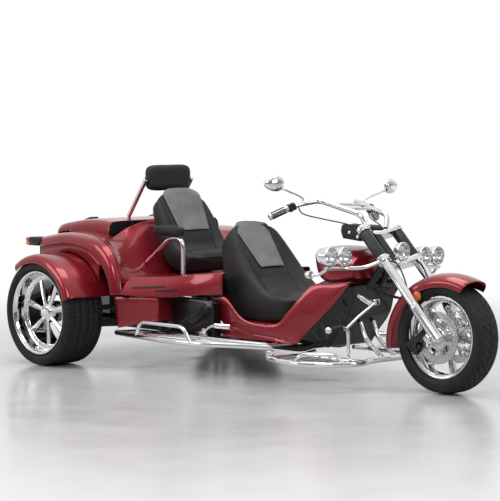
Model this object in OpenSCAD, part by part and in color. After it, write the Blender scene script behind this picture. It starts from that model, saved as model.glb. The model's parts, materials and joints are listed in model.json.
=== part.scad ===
// Motor trike with a raked front fork, two seats and a tail load space.
// Lengths in mm. X is forward, Y to the left, Z up. Pieces are drawn from the rear axle and then placed.

/* [Overall] */
// Distance between the front and rear axles
wheelbase = 2507; // [2440:1:2580]
// Distance from the rear axle to the number plate at the tail
rear_overhang = 470; // [462:1:500]
// Distance between the middles of the rear tyres
rear_track = 1470; // [1462:1:1520]

/* [Wheels] */
// Outer radius of the rear tyres
rear_tyre_r = 316; // [310:1:322]
// Outer radius of the front tyre
front_tyre_r = 300; // [294:1:306]
// Radius of the rear rims at the outer flange
rear_rim_r = 247; // [242:1:252]
// Radius of the front rim at the flange
front_rim_r = 221; // [216:1:226]
// Radius of the rear spindles
rear_spindle_r = 20; // [16:1:24]
// Radius of the front axle
front_axle_r = 12.5; // [10:0.5:15]

/* [Steering] */
// Angle between the fork and the vertical
rake = 45; // [44:0.5:46]
// How far the fork is turned to the left as it stands
steer_rest = 3.4; // [0:0.1:5]
// Half of the distance between the fork legs
fork_half = 135; // [132:1:142]
// Radius of the fork legs
fork_leg_r = 25; // [22:1:27]
// Radius of the steering stem
stem_r = 15; // [12:1:18]

/* [Body] */
// Height of the deck behind the passenger seat
deck_h = 861; // [855:1:885]
// Half width of the box under the deck
box_half = 441; // [436:1:450]
// Thickness of the body panels
skin = 5; // [4:0.5:7]

/* [Seats] */
// Width of the rider seat
rider_seat_w = 500; // [460:1:510]
// Width of the passenger seat
passenger_seat_w = 440; // [400:1:470]
// Width of the headrest
headrest_w = 340; // [300:1:380]

/* [Tubes] */
// Radius of the main frame tubes
frame_r = 20; // [17:0.5:22]
// Radius of the chrome foot rails
rail_r = 16; // [13:0.5:18]
// Radius of the handlebar
bar_r = 14; // [12:0.5:16]

/* [Hidden] */
$fn = 48;
gap = 0.3;
fit = 0.05;
drawn_wheelbase = 2507;
stretch = wheelbase - drawn_wheelbase;
overall_length = rear_overhang + wheelbase + front_tyre_r;
rear_axle_x = rear_overhang - overall_length / 2;
hub_y = rear_track / 2;
tyre_half = 140;
front_axle_z = front_tyre_r + 0.6;
leg_ahead = 39;
axle_ahead = 9;
stem_foot = [wheelbase - axle_ahead * cos(rake), 0, front_axle_z - axle_ahead * sin(rake)];
deck_up = deck_h - 861;
tub_low = 476 + frame_r + gap;
tub_top = deck_h - 74.7;
foot_z = 212;
inner_rail_r = 12;
cross_tube_z = 183.7 + frame_r;
arm_z = 766;
arm_r = 11;

// Curves and skins

function unit(v) = v / norm(v);
// A place along the car for a length in the middle, which stretches with the wheelbase
function mx(x) = x <= 500 ? x : x >= 1600 ? x + stretch : x + stretch * (x - 500) / 1100;
function moved(p) = [for (q = p) [mx(q[0]), q[1], q[2]]];
function flat(p) = [for (q = p) [mx(q[0]), q[1]]];
function eased(a, b, c, d, t) = 0.5 * (2 * b + (c - a) * t + (2 * a - 5 * b + 4 * c - d) * t * t
    + (3 * b - a - 3 * c + d) * t * t * t);
function last(p) = len(p) - 1;
// A smooth curve through points, in n steps from each to the next
function smooth(p, n) = [for (i = [0 : last(p) - 1]) for (s = [0 : n - 1])
    eased(p[max(i - 1, 0)], p[i], p[i + 1], p[min(i + 2, last(p))], s / n), p[last(p)]];
function column(g, j) = [for (r = g) r[j]];
function turned(g) = [for (j = [0 : len(g[0]) - 1]) column(g, j)];
function smooth_rows(g, n) = turned([for (c = turned(g)) smooth(c, n)]);
function smooth_columns(g, n) = [for (r = g) smooth(r, n)];
// Rows from the right edge to the middle, carried on to the left edge
function whole(g) = [for (r = g) concat(r, [for (j = [last(r) - 1 : -1 : 0]) [r[j][0], -r[j][1], r[j][2]]])];
function tangent(p, i) = unit(p[min(i + 1, last(p))] - p[max(i - 1, 0)]);
function side_of(t) = abs(t[2]) < 0.9 ? unit(cross(t, [0, 0, 1])) : unit(cross(t, [0, 1, 0]));
function carried(n, t) = unit(n - t * (n * t));
function normals(p) = [for (i = 0, n = side_of(tangent(p, 0)); i < len(p);
    i = i + 1, n = carried(n, tangent(p, min(i, last(p))))) n];
function ring(c, n, t, r, k) = [for (a = [0 : k - 1]) c + r * (cos(a * 360 / k) * n
    + sin(a * 360 / k) * cross(t, n))];
function fillet(a, b, c, r, n) = let (u = unit(a - b), v = unit(c - b),
    d = min(r, norm(a - b) * 0.48, norm(c - b) * 0.48), s = b + u * d, e = b + v * d)
    [for (i = [0 : n]) let (t = i / n) s * (1 - t) * (1 - t) + b * 2 * t * (1 - t) + e * t * t];
// A run of points with each corner rounded
function bent(p, r, n = 4) = len(p) < 3 ? p : concat([p[0]],
    [for (i = [1 : last(p) - 1]) each fillet(p[i - 1], p[i], p[i + 1], r, n)], [p[last(p)]]);
function loft_faces(m, k) = concat([[for (j = [0 : k - 1]) j]],
    [[for (j = [k - 1 : -1 : 0]) (m - 1) * k + j]],
    [for (i = [0 : m - 2]) for (j = [0 : k - 1])
        [i * k + j, (i + 1) * k + j, (i + 1) * k + (j + 1) % k, i * k + (j + 1) % k]]);

// A round bar along a path
module pipe(path, r, k = 12) {
    n = normals(path);
    points = [for (i = [0 : last(path)]) each ring(path[i], n[i], tangent(path, i), r, k)];
    polyhedron(points, loft_faces(len(path), k));
}

// A round bar that melts into the bars it crosses
module welded(path, r, k = 12) {
    if (len(path) == 2) {
        hull() pipe(path, r, k);
    } else {
        pipe(path, r, k);
    }
}

// Children drawn along Z, turned to run from a to b
module aimed(a, b) {
    u = unit(b - a);
    translate(a) rotate([0, acos(u[2]), atan2(u[1], u[0])]) children();
}

// Rings of points joined into a closed solid
module loft(rings) {
    polyhedron([for (r = rings) each r], loft_faces(len(rings), len(rings[0])));
}

// A panel: a grid of points on its outer face, made t thick towards the inside
module sheet(g, t) {
    m = len(g);
    c = len(g[0]);
    function along(i, j) = g[min(i + 1, m - 1)][j] - g[max(i - 1, 0)][j];
    function across(i, j) = g[i][min(j + 1, c - 1)] - g[i][max(j - 1, 0)];
    outer = [for (i = [0 : m - 1]) for (j = [0 : c - 1]) g[i][j]];
    inner = [for (i = [0 : m - 1]) for (j = [0 : c - 1]) g[i][j] - t * unit(cross(along(i, j), across(i,
        j)))];
    b = m * c;
    faces = concat(
        [for (i = [0 : m - 2]) for (j = [0 : c - 2])
            [i * c + j, i * c + j + 1, (i + 1) * c + j + 1, (i + 1) * c + j]],
        [for (i = [0 : m - 2]) for (j = [0 : c - 2])
            [b + i * c + j, b + (i + 1) * c + j, b + (i + 1) * c + j + 1, b + i * c + j + 1]],
        [for (i = [0 : m - 2]) [i * c, (i + 1) * c, b + (i + 1) * c, b + i * c]],
        [for (i = [0 : m - 2]) [(i + 2) * c - 1, (i + 1) * c - 1, b + (i + 1) * c - 1, b + (i + 2) * c - 1]],
        [for (j = [0 : c - 2]) [j + 1, j, b + j, b + j + 1]],
        [for (j = [0 : c - 2]) [b - c + j, b - c + j + 1, 2 * b - c + j + 1, 2 * b - c + j]]);
    polyhedron(concat(outer, inner), faces);
}

// A side view drawn in X and Z, from y0 to y1
module profile(points, y0, y1) {
    translate([0, y1, 0]) rotate([90, 0, 0]) linear_extrude(y1 - y0) polygon(points);
}

// A plate bent along a side view, t thick below the line
module bent_plate(p, t, y0, y1) {
    function way(i) = unit(p[min(i + 1, last(p))] - p[max(i - 1, 0)]);
    low = [for (i = [last(p) : -1 : 0]) p[i] - t * [-way(i)[1], way(i)[0]]];
    profile(concat(p, low), y0, y1);
}

module both_sides() {
    children();
    mirror([0, 1, 0]) children();
}

module placed() {
    translate([rear_axle_x, 0, 0]) children();
}

// The fork's own frame: Z up along the steering stem from the axle's height, X ahead of it, Y left
module in_fork() {
    placed() translate(stem_foot) rotate([0, -rake, 0]) rotate([0, 0, steer_rest]) children();
}

// Pieces drawn in the vehicle's frame with the fork straight, turned with it
module steered() {
    placed() translate(stem_foot) rotate([0, -rake, 0]) rotate([0, 0, steer_rest]) rotate([0, rake, 0])
        translate(-stem_foot) translate([stretch, 0, front_tyre_r - 300]) children();
}

// The rear wheel's frame: Z outwards along its axle
module at_rear_wheel(side) {
    placed() translate([0, side * hub_y, rear_tyre_r]) rotate([-90 * side, 0, 0]) children();
}

module at_front_wheel() {
    in_fork() translate([axle_ahead, 0, 0]) rotate([-90, 0, 0]) children();
}

// Wheels

module tyre(r, bead, rim, half, seat, crown) {
    s = r - rim;
    rotate_extrude() polygon([[bead, seat - 25], [bead, seat], [rim + 1, seat], [rim + 0.22 * s, half * 0.93],
        [rim + 0.42 * s, half], [rim + 0.62 * s, half * 0.985], [rim + 0.82 * s, half * crown * 1.1],
        [rim + 0.93 * s, half * crown * 0.94], [r - 1, half * crown * 0.6], [r, 0],
        [r - 1, -half * crown * 0.6], [rim + 0.93 * s, -half * crown * 0.94],
        [rim + 0.82 * s, -half * crown * 1.1], [rim + 0.62 * s, -half * 0.985], [rim + 0.42 * s, -half],
        [rim + 0.22 * s, -half * 0.93], [rim + 1, -seat], [bead, -seat], [bead, 25 - seat],
        [bead + 12, 25 - seat], [rim + 0.25 * s, -half * 0.78], [rim + 0.45 * s, -half * 0.86],
        [rim + 0.7 * s, -half * 0.8], [r - 14, -half * 0.5], [r - 13, 0], [r - 14, half * 0.5],
        [rim + 0.7 * s, half * 0.8], [rim + 0.45 * s, half * 0.86], [rim + 0.25 * s, half * 0.78],
        [bead + 12, seat - 25]]);
}

module spokes(count, hub, rim, wide, narrow, thick) {
    for (i = [0 : count - 1]) rotate([0, 0, i * 360 / count + 12]) translate([0, 0, -thick / 2])
        linear_extrude(thick) polygon([[hub, -wide / 2], [rim, -narrow / 2], [rim, narrow / 2],
            [hub, wide / 2]]);
}

module rear_rim() {
    bead = rear_rim_r - 18;
    difference() {
        union() {
            rotate_extrude() polygon([[bead - 6, -122], [rear_rim_r, -126], [rear_rim_r, -122], [bead, -120],
                [bead, 120], [rear_rim_r, 122], [rear_rim_r, 126], [bead - 6, 124]]);
            translate([0, 0, 46]) spokes(7, 60, bead - 4, 46, 74, 16);
            translate([0, 0, -34]) cylinder(r = 64, h = 92);
            translate([0, 0, 57]) cylinder(r1 = 48, r2 = 42, h = 12);
        }
        translate([0, 0, -40]) cylinder(r = rear_spindle_r + fit, h = 92);
    }
}

module rear_tyre() {
    tyre(rear_tyre_r, rear_rim_r - 17.6, rear_rim_r, tyre_half, 119.6, 0.86);
}

module rear_tyre_right() {
    color([0.03, 0.03, 0.035]) at_rear_wheel(-1) rear_tyre();
}

module rear_tyre_left() {
    color([0.03, 0.03, 0.035]) at_rear_wheel(1) rear_tyre();
}

module rear_rim_right() {
    color([0.85, 0.86, 0.88]) at_rear_wheel(-1) rear_rim();
}

module rear_rim_left() {
    color([0.85, 0.86, 0.88]) at_rear_wheel(1) rear_rim();
}

module front_tyre() {
    color([0.03, 0.03, 0.035]) at_front_wheel() tyre(front_tyre_r, front_rim_r - 17.6, front_rim_r, 82,
        55.6, 0.72);
}

module front_rim() {
    bead = front_rim_r - 18;
    color([0.85, 0.86, 0.88]) at_front_wheel() difference() {
        union() {
            rotate_extrude() polygon([[bead - 6, -58], [front_rim_r, -60], [front_rim_r, -56.5], [bead, -56],
                [bead, 56], [front_rim_r, 56.5], [front_rim_r, 60], [bead - 6, 58]]);
            spokes(7, 41, bead - 4, 32, 58, 18);
            cylinder(r = 44, h = 104, center = true);
        }
        cylinder(r = front_axle_r + fit, h = 120, center = true);
    }
}

module front_discs() {
    color([0.6, 0.61, 0.63]) at_front_wheel() for (s = [-1, 1]) {
        difference() {
            union() {
                translate([0, 0, s * 80 - 2.5]) cylinder(r = 140, h = 5);
                translate([0, 0, s * 67.5 - 15.2 + s * 0.1]) cylinder(r = 56, h = 30.4);
            }
            cylinder(r = front_axle_r + 5.2, h = 200, center = true);
            translate([0, 0, s * 80 - 5]) difference() {
                cylinder(r = 96, h = 10);
                cylinder(r = 60, h = 30, center = true);
                for (a = [0 : 60 : 300]) rotate([0, 0, a]) translate([0, -9, -5]) cube([100, 18, 20]);
            }
        }
    }
}

// Rear running gear

module rear_arms() {
    color([0.12, 0.12, 0.13]) both_sides() placed() {
        translate([0, 0, 215]) linear_extrude(45) polygon([[-70, -hub_y + 168], [70, -hub_y + 168],
            [270, -frame_r - 150.3], [180, -frame_r - 150.3], [0, -hub_y + 300],
            [-180, -frame_r - 150.3], [-270, -frame_r - 150.3]]);
        translate([-60, -hub_y + 147, 215]) cube([120, 30, rear_tyre_r - 155]);
        translate([0, -hub_y + 150, rear_tyre_r]) rotate([90, 0, 0]) cylinder(r = 55, h = 108);
        translate([0, -hub_y + 100, rear_tyre_r]) rotate([90, 0, 0]) cylinder(r = rear_spindle_r, h = 146);
        intersection() {
            translate([-25, -hub_y + 147.3, rear_tyre_r + 50]) cube([50, 20, 300]);
            translate([0, -hub_y + 180, rear_tyre_r]) rotate([90, 0, 0]) cylinder(r = rear_tyre_r + 28.7,
                h = 90);
        }
    }
}

module final_drive() {
    color([0.35, 0.36, 0.37]) placed() {
        translate([-88, -128, 222]) cube([200, 256, 185]);
        both_sides() translate([0, -100, rear_tyre_r]) rotate([90, 0, 0]) cylinder(r = 17, h = hub_y - 277.3);
    }
}

module rear_dampers() {
    color([0.7, 0.7, 0.72]) both_sides() placed() {
        translate([-60, -470, 260 + gap]) cylinder(r = 14, h = 300 - frame_r - 0.1);
        translate([-60, -470, 320]) cylinder(r = 34, h = 170);
    }
}

module engine() {
    color([0.3, 0.31, 0.32]) placed() {
        translate([-296, -240, 266]) cube([201, 480, 191]);
        both_sides() translate([-290, -166, 200 + frame_r + gap]) cube([180, 32, 60]);
    }
}

module exhaust() {
    color([0.75, 0.76, 0.78]) placed() {
        translate([-395, 0, 300]) rotate([90, 0, 0]) cylinder(r = 58, h = 560, center = true);
        both_sides() translate([-455, -190, 285]) rotate([0, 90, 0]) difference() {
            cylinder(r = 30, h = 60);
            translate([0, 0, -1]) cylinder(r = 26, h = 40);
        }
        translate([-345, -60, 275]) cube([48.7, 120, 50]);
    }
}

// Frame

rail_line = bent(moved([[-318, -150, 200], [300, -150, 200], [480, -150, 172], [1560, -150, 172],
    [1690, -120, 235], [1880, -60, 468], [1998, -40, 582], [2056, -22, 676]]), 90);

module frame() {
    color([0.1, 0.1, 0.11]) placed() {
        both_sides() {
            welded(rail_line, frame_r);
            welded([[-74, -151, 203], [-61, -151, 562]], frame_r - 4);
            welded([[-317, -151, 203], [-317, -151, 481]], frame_r - 4.4);
            welded(moved([[451, -151, 178], [454, -151, 501.6]]), frame_r - 4.3);
            welded(moved([[820, -151, 178], [820, -151, 552]]), frame_r - 4.6);
            welded(moved([[1240, -151, 175], [1240, -151, 311 - gap]]), frame_r - 5);
            welded(moved([[1400, -151, 175], [1400, -151, 311 - gap]]), frame_r - 5);
        }
        welded([[-60, -510, 560], [-60, 510, 560]], frame_r - 0.3);
        welded([[-318, -300, 478], [-318, 300, 478]], frame_r - 2);
        welded(moved([[453, -420, 478], [453, 420, 478]]), frame_r - 6.5);
        welded(moved([[560, -536, 345], [560, 536, 345]]), 12);
        welded(moved([[563, -147.3, 348], [563, -147.3, 178]]), 9.5);
        welded(moved([[563, 147.3, 348], [563, 147.3, 178]]), 9.5);
        welded(moved([[821, -300, 540], [821, 300, 540]]), 13.5);
        welded(moved([[1100, -150, 168.7], [1100, 150, 168.7]]), frame_r - 2);
        welded(moved([[1450, -150, 169.3], [1450, 150, 169.3]]), frame_r - 2.6);
    }
}

module steering_head() {
    color([0.1, 0.1, 0.11]) placed() translate(stem_foot) rotate([0, -rake, 0]) difference() {
        union() {
            translate([0, 0, 552]) cylinder(r = stem_r + 13, h = 176);
            translate([-75, -14, 570]) cube([70, 28, 130]);
        }
        translate([0, 0, 540]) cylinder(r = stem_r + fit, h = 200);
    }
}

module down_tubes() {
    color([0.85, 0.86, 0.88]) both_sides() placed() pipe(bent(moved([[1900.8, -50, 342.2], [1940, -50, 250],
        [2086 - 0.83 * (rail_r + 0.2), -50, 152 + 0.557 * (rail_r + 0.2)]]), 60, 6), 13);
}

// Body panels

apron_drawn = [
    [[305, -585, 748], [245, -520, 758], [195, 21 - box_half, 768], [170, -300, 812], [165, -150, 843],
        [165, 0, 845]],
    [[415, -592, 655], [355, -520, 672], [312, -420, 690], [292, -300, 705], [285, -150, 712], [285, 0, 712]],
    [[455, -597, 572], [425, -520, 585], [395, -420, 595], [378, -300, 605], [372, -150, 610], [370, 0, 610]],
    [[470, -600, 505], [466, -520, 507], [462, -420, 506], [458, -300, 505], [455, -150, 505],
        [455, 0, 505]]];
// How much of a change of the deck's height each row and column of the apron takes
row_share = [1, 0.6, 0.25, 0];
column_share = [0, 0.5, 1, 1, 1, 1];
apron = [for (i = [0 : 3]) [for (j = [0 : 5]) apron_drawn[i][j]
    + [0, 0, deck_up * row_share[i] * column_share[j]]]];

function deck_row(x, z, low) = [[x, -box_half, low + deck_up], [x, -box_half, z - 62],
    [x, -box_half + 14, z - 20],
    [x, -box_half + 56, z - 3], [x, -220, z], [x, 0, z]];

module rear_body() {
    color([0.42, 0.06, 0.09]) placed() {
        sheet(whole(smooth_columns(smooth_rows(apron, 3), 2)), skin);
        sheet(whole(smooth_rows([deck_row(-228, deck_h - 19, 752), deck_row(-110, deck_h - 5, 764),
            deck_row(20, deck_h, 764), deck_row(155, deck_h - 9, 752)], 2)), skin);
        for (i = [-4 : 4]) hull() {
            translate([40, i * 45 - 5, 800 + deck_up]) cube([118, 10, 48]);
            translate([150, i * 45 - 5, 772 + deck_up]) cube([70, 10, 4]);
        }
    }
}

module vents() {
    e = skin + 0.4 - box_half;
    color([0.04, 0.04, 0.045]) both_sides() placed() translate([146, 0, deck_up]) rotate([90, 0, 90])
        linear_extrude(4) polygon([[-205, 836], [e + 50, 838], [e + 13, 828], [e, 788], [e, 766],
            [e + 10, 766]]);
}

shoulder = [
    [[-250, -box_half - 1, 764 + deck_up], [-250, -594, 755], [-252, -634, 740], [-254, -652, 700],
        [-254, -636, 688]],
    [[-80, -box_half - 1, 783 + deck_up], [-80, -598, 780], [-80, -638, 764], [-80, -656, 722],
        [-80, -640, 710]],
    [[60, -box_half - 1, 782 + deck_up], [60, -598, 783], [60, -638, 766], [60, -656, 724], [60, -640, 712]],
    [[192, -box_half - 3, 762 + deck_up], [190, -600, 772], [188, -640, 755], [170, -657, 712],
        [165, -640, 700]],
    [[280, -575, 738], [282, -602, 752], [276, -641, 738], [235, -657, 692], [227, -640, 681]],
    [[352, -585, 695], [364, -604, 710], [352, -642, 697], [305, -657, 648], [295, -640, 637]],
    [[420, -589, 626], [434, -606, 632], [420, -642, 622], [375, -657, 590], [362, -640, 580]],
    [[456, -592, 530], [470, -608, 532], [457, -642, 527], [420, -657, 512], [405, -640, 505]],
    [[466, -593, 440], [480, -608, 441], [470, -642, 441], [440, -657, 442], [425, -640, 442]]];

module rear_shoulders() {
    color([0.42, 0.06, 0.09]) both_sides() placed()
        sheet(smooth_rows([for (r = shoulder) [for (j = [4 : -1 : 0]) r[j]]], 2), skin);
}

module rear_valance() {
    color([0.42, 0.06, 0.09]) placed() {
        sheet(whole(smooth_rows([[[-330, -552, 372], [-372, -500, 372], [-388, -400, 372], [-395, 0, 372]],
            [[-345, -558, 480], [-385, -500, 480], [-399, -400, 480], [-405, 0, 480]],
            [[-350, -560, 598], [-388, -500, 598], [-401, -400, 598], [-407, 0, 598]]], 2)), skin);
    }
}

module trunk_tub() {
    color([0.07, 0.07, 0.075]) placed() difference() {
        union() {
            translate([-384, -395, tub_low]) cube([294, 790, tub_top - tub_low]);
            translate([-398.2, -120, tub_low]) cube([20, 240, 14]);
        }
        translate([-379, -390, tub_low + 5]) cube([284, 780, tub_top - tub_low]);
        translate([-400, -400, 592]) cube([160, 800, 300]);
    }
}

function lid_row(x, z, side, low, back) = [[x + back, -side, low + deck_up],
    [x + back * 0.6, -side + 12, z - 22],
    [x + back * 0.15, -side + 52, z - 3], [x, -220, z], [x, 0, z]];

module trunk_lid() {
    color([0.42, 0.06, 0.09]) placed() sheet(whole([
        [[-374, -410, 606], [-390, -398, 606], [-406, -372, 606], [-414, -220, 606], [-414, 0, 606]],
        [for (q = [[-368, -418, 706], [-386, -404, 708], [-404, -376, 709], [-412, -220, 709],
            [-412, 0, 709]])
            q + [0, 0, deck_up / 2]],
        lid_row(-400, 786 + deck_up, box_half - 9, 762, 40),
        lid_row(-374, 813 + deck_up, box_half - 8, 766, 24),
        lid_row(-310, 829 + deck_up, box_half - 7, 776, 0),
        lid_row(-237, 840 + deck_up, box_half - 7, 782, 0)]), skin);
}

module lid_hinges() {
    color([0.2, 0.2, 0.21]) both_sides() placed() difference() {
        union() {
            translate([-232, -230, 852 + deck_up]) rotate([90, 0, 0]) cylinder(r = 7, h = 40);
            translate([-232, -270, 847.1 + deck_up]) cube([40, 40, 4]);
        }
        translate([-232, -200, 852 + deck_up]) rotate([90, 0, 0]) cylinder(r = 3 + fit, h = 100);
    }
}

module lid_pins() {
    color([0.2, 0.2, 0.21]) both_sides() placed() {
        translate([-232, -221, 852 + deck_up]) rotate([90, 0, 0]) cylinder(r = 3, h = 58);
        for (y = [-224, -276]) hull() {
            translate([-232, y, 852 + deck_up]) rotate([90, 0, 0]) cylinder(r = 7, h = 6, center = true);
            translate([-290, y - 3, 837 + deck_up]) cube([30, 6, 6]);
        }
    }
}

module rear_fenders() {
    inner = rear_tyre_r + 29;
    color([0.42, 0.06, 0.09]) for (side = [-1, 1]) at_rear_wheel(side) rotate([0, 0, side > 0 ? -126 : 18])
        rotate_extrude(angle = 108) polygon([[inner, -167], [inner, 105], [inner - 8, 135], [inner - 30, 147],
            [inner - 46, 149], [inner - 46, 153.5], [inner - 28, 152], [inner - 4, 139], [inner + 5, 107],
            [inner + 5, -167]]);
}

belt = [
    [[478, -616, 441], [476, -590, 482], [474, -530, 535], [474, -440, 544], [474, -300.2, 545]],
    [[600, -552, 434], [600, -528, 488], [600, -474, 540], [600, -420, 547], [600, -300.2, 548]],
    [[750, -480, 434], [750, -462, 500], [750, -428, 552], [750, -390, 557], [750, -300.2, 558]],
    [[900, -402, 450], [900, -396, 512], [900, -380, 566], [900, -362, 573], [900, -300.2, 574]],
    [[1085, -352, 466], [1085, -352, 526], [1085, -346, 580], [1085, -334, 588], [1085, -300.2, 589]]];

module mid_body() {
    color([0.42, 0.06, 0.09]) placed() {
        both_sides() sheet([for (r = smooth_rows(belt, 2)) moved(r)], skin);
        bent_plate(flat([[474, 545], [600, 548], [750, 558], [864, 570]]), skin, -300, 300);
    }
}

module side_panels() {
    color([0.42, 0.06, 0.09]) both_sides() placed() sheet([moved([[428, -590, 240], [392, -592, 419]]),
        moved([[560, -545, 268], [560, -546, 420]]), moved([[689, -500, 297], [694, -502, 421]])], skin);
}

module side_boxes() {
    low = cross_tube_z + inner_rail_r + 1.45;
    color([0.04, 0.04, 0.045]) both_sides() placed() profile(flat([[700, low], [700, 416], [712, 428],
        [1046, 428],
        [1062, 412], [1062, low]]), -405, -336);
}

tub_side = [
    [[975, -331, 400], [975, -331, 446]], [[1073, -330, 295], [1090, -330, 440]],
    [[1200, -328, 272], [1210, -328, 345]], [[1308, -322, 252], [1320, -322, 312]],
    [[1497, -300, 241], [1480, -300, 315]], [[1619, -280, 216], [1560, -285, 385]],
    [[1700, -266, 290], [1632, -268, 462]], [[1790, -250, 370], [1716, -242, 546]],
    [[1880, -232, 457], [1836, -226, 562]], [[1973, -210, 562], [1968, -209, 576]]];

function nose_ring(x, low, high, half, lean) = let (h = high - low)
    [for (q = [[0.55, 0], [0.95, 0.1], [1, 0.4], [0.94, 0.7], [0.7, 0.92], [0.3, 1], [-0.3, 1],
        [-0.7, 0.92], [-0.94, 0.7], [-1, 0.4], [-0.95, 0.1], [-0.55, 0]])
        [mx(x - lean * (q[1] - 0.5)), q[0] * half, low + q[1] * h]];

module front_body() {
    floor_line = moved([[962, 328, 440], [1020, 328, 372], [1080, 327, 315], [1230, 325, 315],
        [1360, 315, 315], [1500, 297, 315], [1560, 283, 345], [1600, 272, 410], [1640, 262, 470],
        [1690, 243, 515], [1735, 229, 552], [1775, 185, 578]]);
    color([0.42, 0.06, 0.09]) placed() {
        both_sides() sheet([for (r = smooth_rows(tub_side, 2)) moved(r)], skin);
        for (i = [0 : last(floor_line) - 1]) hull() for (q = [floor_line[i], floor_line[i + 1]])
            translate([q[0] - 2, -q[1], q[2] - 4]) cube([4, 2 * q[1], 4]);
        loft([nose_ring(1664, 655, 685, 120, 10), nose_ring(1690, 575, 745, 185, 60),
            nose_ring(1790, 552, 756, 212, 40), nose_ring(1890, 560, 738, 195, 20),
            nose_ring(1960, 590, 712, 176, 0)]);
    }
}

module under_cover() {
    line = flat([[1966, 552], [1928, 391], [1820, 268], [1769, 202], [1722, 208]]);
    cheek = [moved([[1640, -256, 246], [1722, -158, 209]]), moved([[1700, -249, 300], [1769, -158, 203]]),
        moved([[1790, -233, 380], [1822, -158, 268]]), moved([[1880, -215, 466], [1926, -158, 391]]),
        moved([[1946, -190, 540], [1964, -158, 551]])];
    color([0.05, 0.05, 0.055]) placed() difference() {
        union() {
            bent_plate(line, -skin, -160, 160);
            both_sides() sheet(cheek, skin);
        }
        both_sides() pipe(rail_line, frame_r + gap);
    }
}

// Seats

module rider_seat() {
    h = rider_seat_w / 2;
    color([0.06, 0.06, 0.065]) placed() {
        profile(flat([[862, 836], [894, 850], [930, 838], [1229, 470], [1300, 440], [1470, 455], [1500, 430],
            [1490, 315.3], [1092, 315.3], [1034, 377], [976, 446], [935, 484], [880, 590], [845, 700],
            [830, 770]]), -h * 0.72, h * 0.72);
        both_sides() profile(flat([[850, 770], [900, 816], [962, 820], [1035, 772], [1102, 668], [1262, 506],
            [1350, 466], [1470, 458], [1500, 430], [1490, 315.3], [1092, 315.3], [1040, 380], [990, 470],
            [930, 585], [880, 640], [840, 720]]), -h, -h * 0.72);
    }
}

module passenger_seat() {
    h = passenger_seat_w / 2;
    color([0.06, 0.06, 0.065]) placed() {
        profile(flat([[232, 1000], [262, 1026], [296, 1018], [470, 705], [520, 662], [600, 668], [640, 640],
            [632, 550.5], [476, 545.6], [420, 585], [330, 740]]), -h, h);
    }
}

module headrest() {
    color([0.06, 0.06, 0.065]) placed() profile([[160, 1040], [150, 1110], [150, 1170], [168, 1189],
        [196, 1189],
        [220, 1165], [226, 1090], [216, 1036], [196, 1023]], -headrest_w / 2, headrest_w / 2);
}

module headrest_stays() {
    color([0.85, 0.86, 0.88]) both_sides() placed() pipe([[200, -headrest_w / 2 - 12.3, 1100],
        [28, -headrest_w / 2 - 12.3, deck_h + 6.6]], 12);
}

module armrest_frames() {
    color([0.85, 0.86, 0.88]) both_sides() placed() pipe(bent(moved([[716, -330, 556.2], [716, -330, arm_z],
        [600, -330, arm_z], [384, -330, 612]]), 45, 5), arm_r);
}

module armrest_pads() {
    color([0.05, 0.05, 0.055]) both_sides() placed() translate([mx(455), -362, arm_z + arm_r + gap])
        cube([mx(722) - mx(455), 64, 62]);
}

// Foot rails

module footboards() {
    outer = moved([for (q = [[415, -590], [700, -636], [1000, -672], [1250, -645], [1410, -560],
        [1630, -482]])
        [q[0], q[1], foot_z]]);
    inner = moved([for (q = [[470, -440], [1000, -429], [1560, -400], [1630, -482]]) [q[0], q[1], foot_z]]);
    color([0.85, 0.86, 0.88]) both_sides() placed() {
        welded(bent(outer, 120, 3), rail_r);
        welded(bent(inner, 60, 3), inner_rail_r);
        welded(bent([outer[0], moved([[440, -500, foot_z]])[0], inner[0]], 40, 3), 12);
        for (q = [[620, -622], [1060, -664], [1500, -526]])
            welded(moved([[q[0], -154, cross_tube_z], [q[0], q[1], foot_z - 6]]), inner_rail_r);
        for (s = [0.25, 0.5, 0.75])
            welded(moved([[612, -436 - 180 * s, foot_z - 1], [1512, -412 - 110 * s, foot_z - 1]]), 7, 8);
        welded(bent(moved([[655, -640, foot_z], [690, -640, foot_z + 84], [1110, -666, foot_z + 88],
            [1170, -662, foot_z + 2]]), 45, 3), 11);
    }
}

module front_hoop() {
    side = moved([[1625, -482, 152], [1760, -530, 152], [1940, -548, 152], [2085, -440, 152],
        [2150, -292, 152],
        [2086, -150, 152], [2086, 0, 152]]);
    color([0.85, 0.86, 0.88]) both_sides() placed() {
        welded(bent(side, 80, 3), rail_r);
        welded(moved([[1630, -482, 211.6 - rail_r], [1630, -482, 151]]), 22);
        welded(bent(moved([[1630, -470, 152], [1640, -250, 152], [2060, -250, 152], [2118, -240, 152]]),
            60, 3), 12);
        for (x = [1720, 1800, 1880, 1960, 2040]) welded(moved([[x, -250, 152],
            [x, x > 2000 ? -470 : -525, 152]]), 7, 8);
        welded(bent(moved([[1880, -548, 152], [1940, -540, 205], [2085, -425, 205], [2112, -385, 152]]),
            40, 3), 10);
        welded(moved([[1645, -255, 152], [1645, -150, 168]]), 12);
    }
}

module foot_controls() {
    color([0.8, 0.81, 0.83]) both_sides() placed() {
        pipe(bent(moved([[2010, -250, 164.5], [2018, -262, 320], [2026, -310, 340], [2016, -398, 330]]),
            30), 10);
        translate([mx(2016), -408, 330]) sphere(r = 19);
    }
}

module handbrake() {
    color([0.8, 0.81, 0.83]) placed() {
        pipe(bent(moved([[1015, -430, 250], [1080, -428, 288], [1245, -428, 292]]), 30, 4), 11);
        translate([mx(1010) - 30, -442, foot_z + inner_rail_r + gap]) cube([60, 24, 22]);
    }
}

// Tail

module tail_lamps() {
    color([0.05, 0.05, 0.055]) both_sides() placed() {
        profile([[-378, 694], [-378, 740], [-360, 746], [-270, 746], [-256, 712], [-275, 694]], -656, -567);
        translate([-345, -585, 560]) cube([30, 30, 133.7]);
    }
}

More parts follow.
